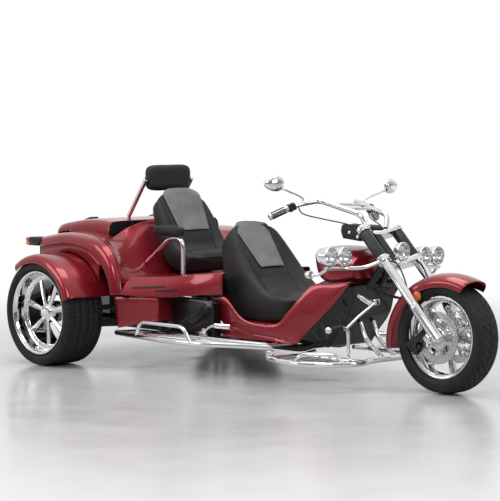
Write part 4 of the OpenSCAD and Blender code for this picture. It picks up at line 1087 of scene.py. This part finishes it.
def fork_legs():
    """The fork legs: a polished tube with a thicker lower slider, a seal ring, a cap and the axle lug."""
    tube = [(0.1, -48), (24, -48), (31, -42), (31, 186), (29, 196), (29, 204), (25, 206), (25, 772), (0.1, 772)]
    lug = lathe([(12.7, -23), (30, -23), (30, 23), (12.7, 23)], 40, 3)
    cap = lathe([(0.1, 778), (17, 778), (22, 772), (22, 764)], 32, 2)
    one = shifted(lathe(tube, 48, 3), LEG) + shifted(turned(lug, "x", math.pi / 2), [AXLE_LEAD, LEG[1], 0])
    return moved(both(one + shifted(cap, LEG)), in_fork)


def fork_covers():
    """The upper covers: grey sleeves with three turned grooves near the foot."""
    line = [(25.4, 546), (30, 546), (31.5, 549), (31.5, 560), (29.8, 562), (31.5, 564), (31.5, 574),
        (29.8, 576), (31.5, 578), (31.5, 588), (29.8, 590), (31.5, 592), (31.5, 728), (30, 732), (25.4, 732)]
    return moved(both(shifted(lathe(line, 48), LEG)), in_fork)


def front_axle():
    """The front axle with its spacers and domed nuts."""
    half = [(12.5, 0), (12.5, 88), (15.9, 88), (15.9, 103), (12.5, 103), (12.5, 166.4), (19.5, 166.4),
        (19.5, 176), (15, 180), (0.1, 181)]
    line = [(r, -z) for r, z in half[:0:-1]] + half
    return moved(shifted(turned(lathe(line, 40), "x", math.pi / 2), [AXLE_LEAD, 0, 0]), in_fork)


def calipers():
    """The brake calipers: two rounded halves over the disc, piston caps and the arm to the fork leg."""
    one = block((-168, -102), (66, 74), (30, 114), 3) + block((-168, -102), (88, 106), (30, 114), 6)
    one += block((-168, -140), (66, 106), (34, 110), 5) + block((-112, 12), (101, 126), (52, 82), 4)
    cap = turned(lathe([(13, -1), (13, 3), (10, 5), (0.1, 5)], 24), "x", -math.pi / 2)
    for z in (54, 90):
        one += shifted(cap, [-126, 106, z])
    return moved(both(one), in_fork)


def headlamp(length):
    """A lamp can: domed back, straight side and rolled rim, with a bowl reflector and bulb shade inside."""
    k = length / 96
    can = [(0.1, 0), (16, 1), (32, 7 * k), (43, 20 * k), (48, 38 * k), (49, 62 * k), (52, 64 * k), (53, 68 * k),
        (53, length - 4), (50, length), (46.5, length), (46, length - 8)]
    bowl = [(46, length - 8), (40, length - 22 * k), (28, length - 38 * k), (13, length - 46 * k),
        (0.1, length - 47 * k)]
    shade = [(0.1, length - 12 * k), (8, length - 13 * k), (10, length - 20 * k), (7, length - 44 * k)]
    return lathe(curve(can, 4), 48) + lathe(curve(bowl, 4), 48) + lathe(shade, 24)


LAMPS = [(1960, y, 712, 96) for y in (-440, -330, 330, 440)] + [(2130, 0, 742, 50)]


def headlamps():
    """Five lamp cans and their feet on the lamp bars, and the middle lamp's bracket."""
    cans = [s for x, y, z, n in LAMPS for s in along(headlamp(n), (x, y, z), (x + 1, y, z))]
    feet = both([s for y in (-330, -440) for s in bar([[2030, y, 666], [2036, y, 655]], 9)])
    return moved(cans + feet, steered) + moved(block((26.3, 62), (-12, 12), (518, 540), 3), in_fork)


def lenses():
    """Domed lamp glasses, each with a thickness."""
    dome = [(0.1, 7), (22, 6), (38, 3), (45.5, -1), (45.5, -3), (38, 0), (22, 3), (0.1, 4)]
    dome = lathe(curve(dome, 4), 48)
    return moved([s for x, y, z, n in LAMPS for s in along(dome, (x + n, y, z), (x + n + 1, y, z))], steered)


def signals():
    """Bullet signals: a pointed shell with a rolled rim."""
    line = [(0.1, 0), (8, 2), (16, 9), (21, 22), (22, 40), (22, 45), (19, 46), (18, 42), (0.1, 41)]
    return moved(both(along(lathe(curve(line, 3), 32), (1906, -486, 610), (1960, -486, 610))), steered)


def on_grips(shapes):
    """Shapes drawn up from the end of a grip, put on both ends of the handlebar."""
    end = np.array(BAR_LINE[4]) + unit(np.subtract(BAR_LINE[4], BAR_LINE[3])) * 14
    return moved(both(along(shapes, end, BAR_LINE[3])), steered)


def grip_sleeves():
    """Hand grips: a bright sleeve with a rolled end."""
    line = [(0.1, 0), (13, 0), (19, 3), (19.5, 10), (16.5, 13), (16.5, 104), (20, 106), (20, 116), (15.5, 118)]
    return on_grips(lathe(line, 40, 1.5))


def grip_strips():
    """Ten soft strips along each grip."""
    spots = [[17 * math.cos(a), 17 * math.sin(a)] for a in np.arange(10) * math.pi / 5]
    return on_grips([s for spot in spots for s in bar([[*spot, 16], [*spot, 102]], 3.2, 10, 1)])


def egg_rings(wide, high, rings):
    """Egg-shaped rings, each with its share of the size and its distance out."""
    a = np.linspace(0, 2 * math.pi, 48, endpoint=False)[None]
    size, out = np.array(rings)[:, :1], np.array(rings)[:, 1:]
    y = high * size * np.sin(a) * (1 + 0.22 * np.cos(a))
    return np.stack([wide * size * np.cos(a), y, out + 0 * a], -1)


def on_mirrors(shapes):
    """Shapes of a mirror's head, turned to the rider and put on the right stem."""
    m = turn("z", math.radians(78)) @ turn("x", math.pi / 2)
    return moved(shapes, lambda p: p @ m.T + [1649, -480, 1094])


def mirror_shells():
    """Mirrors: a bent stem and an egg-shaped housing, domed to the front."""
    stem = [[1650, -250, 1001.1], [1650, -252, 1014], [1655, -300, 1034], [1652, -470, 1080]]
    rings = [(1.0, -10), (1.0, -4), (0.985, 2), (0.93, 8), (0.78, 14), (0.5, 18.5), (0.2, 20)]
    head = on_mirrors(capped(egg_rings(64, 42, rings)))
    return moved(both(bar(bent(stem, 30), 5.5, 14) + head), steered)


def mirror_glasses():
    """The mirrors' glasses."""
    rings = egg_rings(61, 39, [(1.0, -9.0), (0.995, -11.0), (0.02, -11.4)])
    return moved(both(on_mirrors(capped(rings[::-1]))), steered)


def pod():
    """The instrument pod: its side view carried across with rounded edges."""
    outline = [(1800, 800), (1906, 791), (1918, 788.4), (1950, 820.4), (1954, 868), (1935, 880), (1790, 880),
        (1780, 840)]
    return moved(side_view(rounded(outline, 12), -84, 84, 8), steered)


piece("yoke_plates", yokes(), CHROME, "yokes", "fork")
piece("fork_leg_tubes", fork_legs(), CHROME, "fork_legs", "fork")
piece("fork_cover_sleeves", fork_covers(), GREY, "fork_covers", "fork", 25)
piece("front_axle_bar", front_axle(), CHROME, "front_axle", "fork", 25)
piece("caliper_bodies", calipers(), GLOSS_BLACK, "calipers", "fork", slot="black_steel")
piece("headlamp_cans", headlamps(), CHROME, "headlamps", "fork", 50)
piece("headlamp_glasses", lenses(), LENS, "headlamp_lenses", "fork", 60)
piece("signal_shells", signals(), CHROME, "turn_signals", "fork", 60)
piece("grip_sleeves", grip_sleeves(), CHROME, "grips", "fork")
piece("grip_strips", grip_strips(), PLASTIC, body="fork")
piece("mirror_shells", mirror_shells(), CHROME, "mirrors", "fork", 50)
piece("mirror_glasses", mirror_glasses(), MIRROR, body="fork")
piece("instrument_pod_shell", pod(), PLASTIC, "instrument_pod", "fork")


# Covers, lamps behind and small fittings


def under_cover():
    """The black cover under the nose: a bent plate between two cheeks that run up to the tub's sides."""
    line = bent([[1722, 208], [1769, 202], [1820, 268], [1928, 391], [1966, 552]], 30, 6)
    return strip(line, 160, 5) + both(shell(ruled(CHEEK, 6, 5), 4))


def side_boxes():
    """The gloss black side boxes: a rounded block with a raised three-cornered facet on its face."""
    box = rounded([(700, 218), (700, 416), (712, 428), (1046, 428), (1062, 412), (1062, 218)], 12)
    facet = rounded([(838, 236), (1042, 236), (1042, 396)], 10)
    cap = rounded([(716, 250), (716, 408), (1010, 408), (850, 290)], 10)
    return both(side_view(box, 336, 401, 6) + side_view(facet, 396, 407, 6) + side_view(cap, 396, 404, 4))


def side_gap_shade():
    """Dark plates that paint shade into the gaps behind each side panel and between the side box and the belt.
    """
    behind = rounded([(566, 232), (566, 424), (696, 424), (696, 232)], 8)
    above = rounded([(566, 426), (566, 536), (1060, 560), (1060, 432)], 8)
    # both plates are dark to stand for the shade in these gaps
    return both(side_view(behind, 392, 397, 1.5) + side_view(above, 318, 323, 1.5))


def tail_lamps():
    """The tail lamp housings, each a tapering side view on its post."""
    line = rounded([(-378, 694), (-378, 740), (-360, 746), (-270, 746), (-256, 712), (-275, 694)], 8)
    return both(side_view(line, 567, 656, 9) + block((-345, -315), (-585, -555), (560, 694), 4))


def lamp_face(low, high):
    """A lens across the back of each tail lamp between two heights."""
    return both(block((-391, -352), (-658, -565), (low, high), 7))


def vent_slats():
    """Slats across the vents, each cut to the slanting lower edge."""
    spots = [(-205 - (838 - z) * 3.1, z) for z in np.arange(780, 834, 9.0)]
    return both([s for y, z in spots for s in bar([[152, y, z], [152, -432, z]], 2.4, 10, 1)])


def peg_stems():
    """The foot controls: a bent stem with a polished ball."""
    lat = np.linspace(-math.pi / 2, math.pi / 2, 15)
    ball = lathe(np.stack([np.maximum(19 * np.cos(lat), 0.1), 19 * np.sin(lat)], -1), 28)
    stem = bent([[2010, -250, 164.5], [2018, -262, 320], [2026, -310, 340], [2016, -398, 330]], 34, 8)
    return both(bar(stem, 10) + along(ball, (2016, -408, 330), (2015, -417, 329)))


def peg_sleeves():
    """A ribbed rubber sleeve on each peg."""
    steps = np.arange(0, 73, 3.0)
    line = np.stack([np.r_[10, 14.5 + 1.2 * np.cos(steps * math.pi / 3), 10], np.r_[0, steps, 72]], -1)
    return both(along(lathe(line, 28), (2025, -318, 339), (2017, -390, 331)))


def pedal_links():
    """The pedal linkage before the under cover: a lever from each peg up to a cylinder on a bracket."""
    lever = bar(bent([[2000, -258, 326], [2036, -200, 392], [2082, -116, 466]], 30, 6), 8.5)
    bracket = bar([[2084, -112, 470], [1952, -112, 484]], 8) + block((2066, 2100), (-128, -98), (452, 486), 6)
    barrel = lathe([(0.1, 0), (13, 0), (15, 4), (15, 60), (11, 66), (11, 84), (0.1, 86)], 28, 2)
    return both(lever + bracket + along(barrel, (2076, -150, 462), (2010, -170, 500)))


def handbrake():
    """The hand brake: a bent lever with a turned grip, its foot and the rod to the side box."""
    steps = np.arange(0, 129, 2.0)
    ribs = 13.4 + 1.1 * np.cos(steps * math.pi / 4)
    grip = lathe(np.stack([np.r_[0.1, 9, ribs, 9, 0.1], np.r_[-2, -2, steps, 130, 130]], -1), 32)
    lever = bar(bent([[1015, -430, 250], [1080, -428, 288], [1240, -428, 292]], 30, 6), 9)
    foot = block((980, 1040), (-442, -418), (224.5, 250), 5) + block((1004, 1030), (-440, -420), (232, 268), 5)
    rod = bar([[1008, -424, 244], [930, -416, 238]], 4.5, 12)
    rod += bar([[1066, -441, 276], [1066, -415, 276]], 5, 12)
    return lever + foot + rod + along(grip, (1116, -428, 289), (1245, -428, 292))


def exhaust():
    """The silencer across the tail, with two bands and two open tips."""
    can = lathe(bent([(0.1, -280), (44, -280), (58, -268), (58, 268), (44, 280), (0.1, 280)], 8, 4), 56)
    for z in (-230, 230):
        can += lathe([(57, z - 9), (60, z - 9), (60, z + 9), (57, z + 9)], 56, 1.5)
    tip = lathe([(0.1, 20), (26, 20), (26, 58), (28.5, 60), (30, 58), (30, 0)], 40)
    return along(can, (-395, 0, 300), (-395, 1, 300)) + both(along(tip, (-395, -190, 285), (-396, -190, 285)))


def reflectors():
    """A round reflector on each side of the front fender."""
    dome = lathe([(0.1, 5), (12, 4.6), (22, 3), (27, 0.5), (27.5, -4), (0.1, -4)], 32)
    return moved(both(along(dome, (2364, -97, 514), (2364, -98, 514))), steered)


def switches():
    """The switch boxes inside the grips, each in two halves with buttons and a clamp."""
    one = block((-21, 21), (-24, 20), (122, 142), 7) + block((-20, 20), (-22, 19), (143, 166), 7)
    for button in (((-27, -18), (-14, -2), (128, 138)), ((-26, -17), (0, 12), (148, 160)),
            ((14, 27), (-8, 8), (146, 162))):
        one += block(*button, 3)
    return on_grips(one)


def pipes():
    """Brake pipes: one from each switch box to the yoke, and a hose from the yoke down each leg."""
    run = [[1648, -285, 968], [1672, -270, 930], [1760, -200, 905], [1880, -130, 880], [1960, -95, 842]]
    hose = [[52, 112, 512], [74, 98, 470], [58, 97, 380], [6, 99, 260], [-70, 104, 168], [-118, 97, 118]]
    upper, lower = bar(curve(run, 6), 3.6, 10, 1), bar(curve(hose, 6), 4.2, 10, 1)
    return moved(both(upper), steered) + moved(both(lower), in_fork)


DIAL_AT = [1850, 0, 882]


def pod_fittings():
    """Bright screws on the pod's sides and the dial's ring on its top."""
    screw = lathe([(0.1, 4), (3, 4), (5, 3.4), (8.5, 2.6), (10, 0), (10, -3)], 24)
    ring = lathe([(34, -3), (44, -3), (44, 3), (40, 5), (34, 2), (34, -3)], 48, 1.5)
    spots = [s for x, z in ((1850, 835), (1912, 812)) for s in both(along(screw, (x, -84, z), (x, -85, z)))]
    return moved(spots + shifted(ring, DIAL_AT), steered)


def dial():
    """The dial: a dished face with a raised needle boss."""
    return moved(shifted(lathe([(36, -2), (34, 1), (10, 0.4), (8, 3), (0.1, 3.4)], 48), DIAL_AT), steered)


def belt_slot_shade_strips():
    """Painted shade for the slots in the belt: thin dark strips of its own surface, lifted a little, where the
    shade inside the slits falls.
    """
    belt = belt_grid()
    lifted = belt + facing(belt) * 1.6
    # dark strips that paint the shade inside the slots
    return both(shell(lifted[3:12, 5:7], 2.4, 3) + shell(lifted[9:15, 3:5], 2.4, 3))


step = curve(curve(LOWER_STEP, 6), 5, 1)
piece("under_cover_panel", under_cover(), GLOSS_BLACK, "under_cover")
piece("side_box_covers", side_boxes(), GLOSS_BLACK, "side_boxes", sharp=25)
# painted shade: dark plates standing for the shade in the gaps round the side panels
piece("side_gap_shade_plates", side_gap_shade(), GLOSS_BLACK)
piece("seat_bulkhead", block((884, 890), (-292, 292), (332, 566), 2.5), PLASTIC)
piece("tub_sills", both(shell(ruled(SILL, 6, 5), 3)), PAINT)
piece("side_panel_returns", both(shell(ruled(RETURN, 6, 5), 3)), PAINT)
piece("lower_step_panels", both(shell(step, 4)), PAINT)
piece("tail_lamp_housings", tail_lamps(), PLASTIC, "tail_lamps")
piece("tail_lamp_amber", lamp_face(697, 719), AMBER)
piece("tail_lamp_red", lamp_face(720, 742), RED_LENS)
piece("vent_slats", vent_slats(), GLOSS_BLACK)
piece("foot_peg_stems", peg_stems(), CHROME, "foot_controls")
piece("foot_peg_sleeves", peg_sleeves(), PLASTIC)
piece("pedal_links", pedal_links(), CHROME)
piece("handbrake_lever", handbrake(), CHROME, "handbrake")
piece("exhaust_silencer", exhaust(), CHROME, "exhaust")
piece("blank_plate", block((-475, -470.2), (-118, 118), (404, 526), 2), PLATE_WHITE)
piece("fender_reflectors", reflectors(), AMBER, body="fork")
piece("switch_boxes", switches(), PLASTIC, body="fork")
piece("brake_pipes", pipes(), PLASTIC, body="fork")
piece("pod_fittings", pod_fittings(), CHROME, body="fork")
piece("pod_dial", dial(), GLOSS_BLACK, body="fork")
# painted shade: dark strips where the shade inside the belt's slots falls
piece("belt_slot_shade_strips", belt_slot_shade_strips(), PLASTIC)


# Studio


def floor():
    """A pale floor that fades to white with distance, for the camera and for mirrored rays that run behind."""
    n = Nodes("studio_floor")
    n.to(n.colours(n.noise(1.2, 4.0), (0.3, (0.5, 0.5, 0.505)), (0.7, (0.56, 0.56, 0.565))), "Base Color")
    n.to(n.spread(n.noise(3, 4.0), 0.16, 0.28), "Roughness")
    white = n.add("ShaderNodeEmission")
    white.inputs[0].default_value = (1, 1, 1, 1)
    length = n.add("ShaderNodeVectorMath", operation="LENGTH")
    n.join(n.place, length.inputs[0])
    behind = n.add("ShaderNodeVectorMath", operation="DOT_PRODUCT")
    n.join(n.place, behind.inputs[0])
    behind.inputs[1].default_value = (-0.74, 0.67, 0.0)
    ray = n.add("ShaderNodeLightPath").outputs
    bounced = n.maths("MAXIMUM", ray["Is Glossy Ray"], ray["Is Transmission Ray"])
    bounced = n.maths("MULTIPLY", bounced, n.spread(behind.outputs["Value"], 0.25, 1.0, -1.0, 2.0))
    seen = n.maths("MAXIMUM", ray["Is Camera Ray"], bounced)
    mix = n.add("ShaderNodeMixShader")
    n.join(n.maths("MULTIPLY", n.spread(length.outputs["Value"], 0.0, 1.0, 2.2, 5.5), seen), mix.inputs[0])
    n.join(n.shader.outputs[0], mix.inputs[1])
    n.join(white.outputs[0], mix.inputs[2])
    n.join(mix.outputs[0], n.out)
    mesh = bpy.data.meshes.new("floor")
    mesh.from_pydata([(-60, -60, 0), (60, -60, 0), (60, 60, 0), (-60, 60, 0)], [], [(0, 1, 2, 3)])
    mesh.materials.append(n.material)
    obj = bpy.data.objects.new("floor", mesh)
    bpy.context.scene.collection.objects.link(obj)


def room():
    """A room that is bright above and dim at the camera's side, and white to the camera itself."""
    world = bpy.data.worlds.new("studio")
    bpy.context.scene.world = world
    world.use_nodes = True
    tree = world.node_tree
    tree.nodes.clear()
    add, join = tree.nodes.new, tree.links.new
    kinds = "TexCoord", "VectorMath", "MapRange", "ValToRGB", "LightPath", "Math", "Background", "OutputWorld"
    coords, dot, half, ramp, ray, white, back, end = (add("ShaderNode" + kind) for kind in kinds)
    dot.operation, white.operation = "DOT_PRODUCT", "MAXIMUM"
    dot.inputs[1].default_value = (-0.36, 0.32, 0.87)
    half.inputs["From Min"].default_value = -1
    ramp.color_ramp.elements.new(0.5)
    for element, (at, level) in zip(ramp.color_ramp.elements, ((0.22, 0.05), (0.55, 0.35), (0.8, 0.9))):
        element.position, element.color = at, (level, level, level, 1)
    join(coords.outputs["Generated"], dot.inputs[0])
    join(dot.outputs["Value"], half.inputs["Value"])
    join(half.outputs[0], ramp.inputs[0])
    join(ramp.outputs[0], white.inputs[0])
    join(ray.outputs["Is Camera Ray"], white.inputs[1])
    join(white.outputs[0], back.inputs[0])
    join(back.outputs[0], end.inputs[0])


def put(data, right, up, back, place):
    """An object of a camera or lamp, which looks against its back direction, linked to the scene."""
    obj = bpy.data.objects.new(data.name, data)
    m = np.eye(4)
    m[:3, :3], m[:3, 3] = np.stack([right, up, back], 1), place
    obj.matrix_world = Matrix(m.tolist())
    bpy.context.scene.collection.objects.link(obj)
    return obj


def lamps():
    """Four soft lamps, each with its place, aim, size and power."""
    for name, place, aim, size, power in (
        ("key", (3.2, -3.4, 3.6), (0.1, 0, 0.5), (2.6, 1.4), 70),
        ("top", (-0.3, -0.4, 4.2), (0, 0, 0), (4.5, 1.6), 80),
        ("side", (-2.6, -4.4, 2.2), (-0.6, 0, 0.5), (2.4, 1.2), 36),
        ("front", (5.0, 1.0, 2.4), (0.6, 0, 0.5), (1.2, 2.0), 30),
    ):
        lamp = bpy.data.lights.new(name, "AREA")
        lamp.shape, lamp.size, lamp.size_y, lamp.energy = "RECTANGLE", *size, power
        back = unit(np.array(place) - np.array(aim))
        right = unit(np.cross([0, 0, 1.0] if abs(back[2]) < 0.95 else [1.0, 0, 0], back))
        put(lamp, right, np.cross(back, right), back, place)


def camera():
    """The photograph's view: a long lens low on the right, ahead of the front wheel."""
    place = 9.9978 + REAR_AXLE / 1000, -8.1938, 1.4978
    yaw, pitch, roll = 0.8356, 0.0659, -0.0033
    focal_px, photo_px = 2080.71, 501
    ahead = np.array([-math.sin(yaw) * math.cos(pitch), math.cos(yaw) * math.cos(pitch), -math.sin(pitch)])
    right = np.array([math.cos(yaw), math.sin(yaw), 0])
    up = np.cross(right, ahead)
    right, up = math.cos(roll) * right + math.sin(roll) * up, math.cos(roll) * up - math.sin(roll) * right
    data = bpy.data.cameras.new("camera")
    data.sensor_width, data.lens = 36.0, 36.0 * focal_px / photo_px
    bpy.context.scene.camera = put(data, right, up, -ahead, place)


floor()
room()
lamps()
camera()
bpy.context.scene.view_settings.view_transform = "Standard"
bpy.context.view_layer.update()
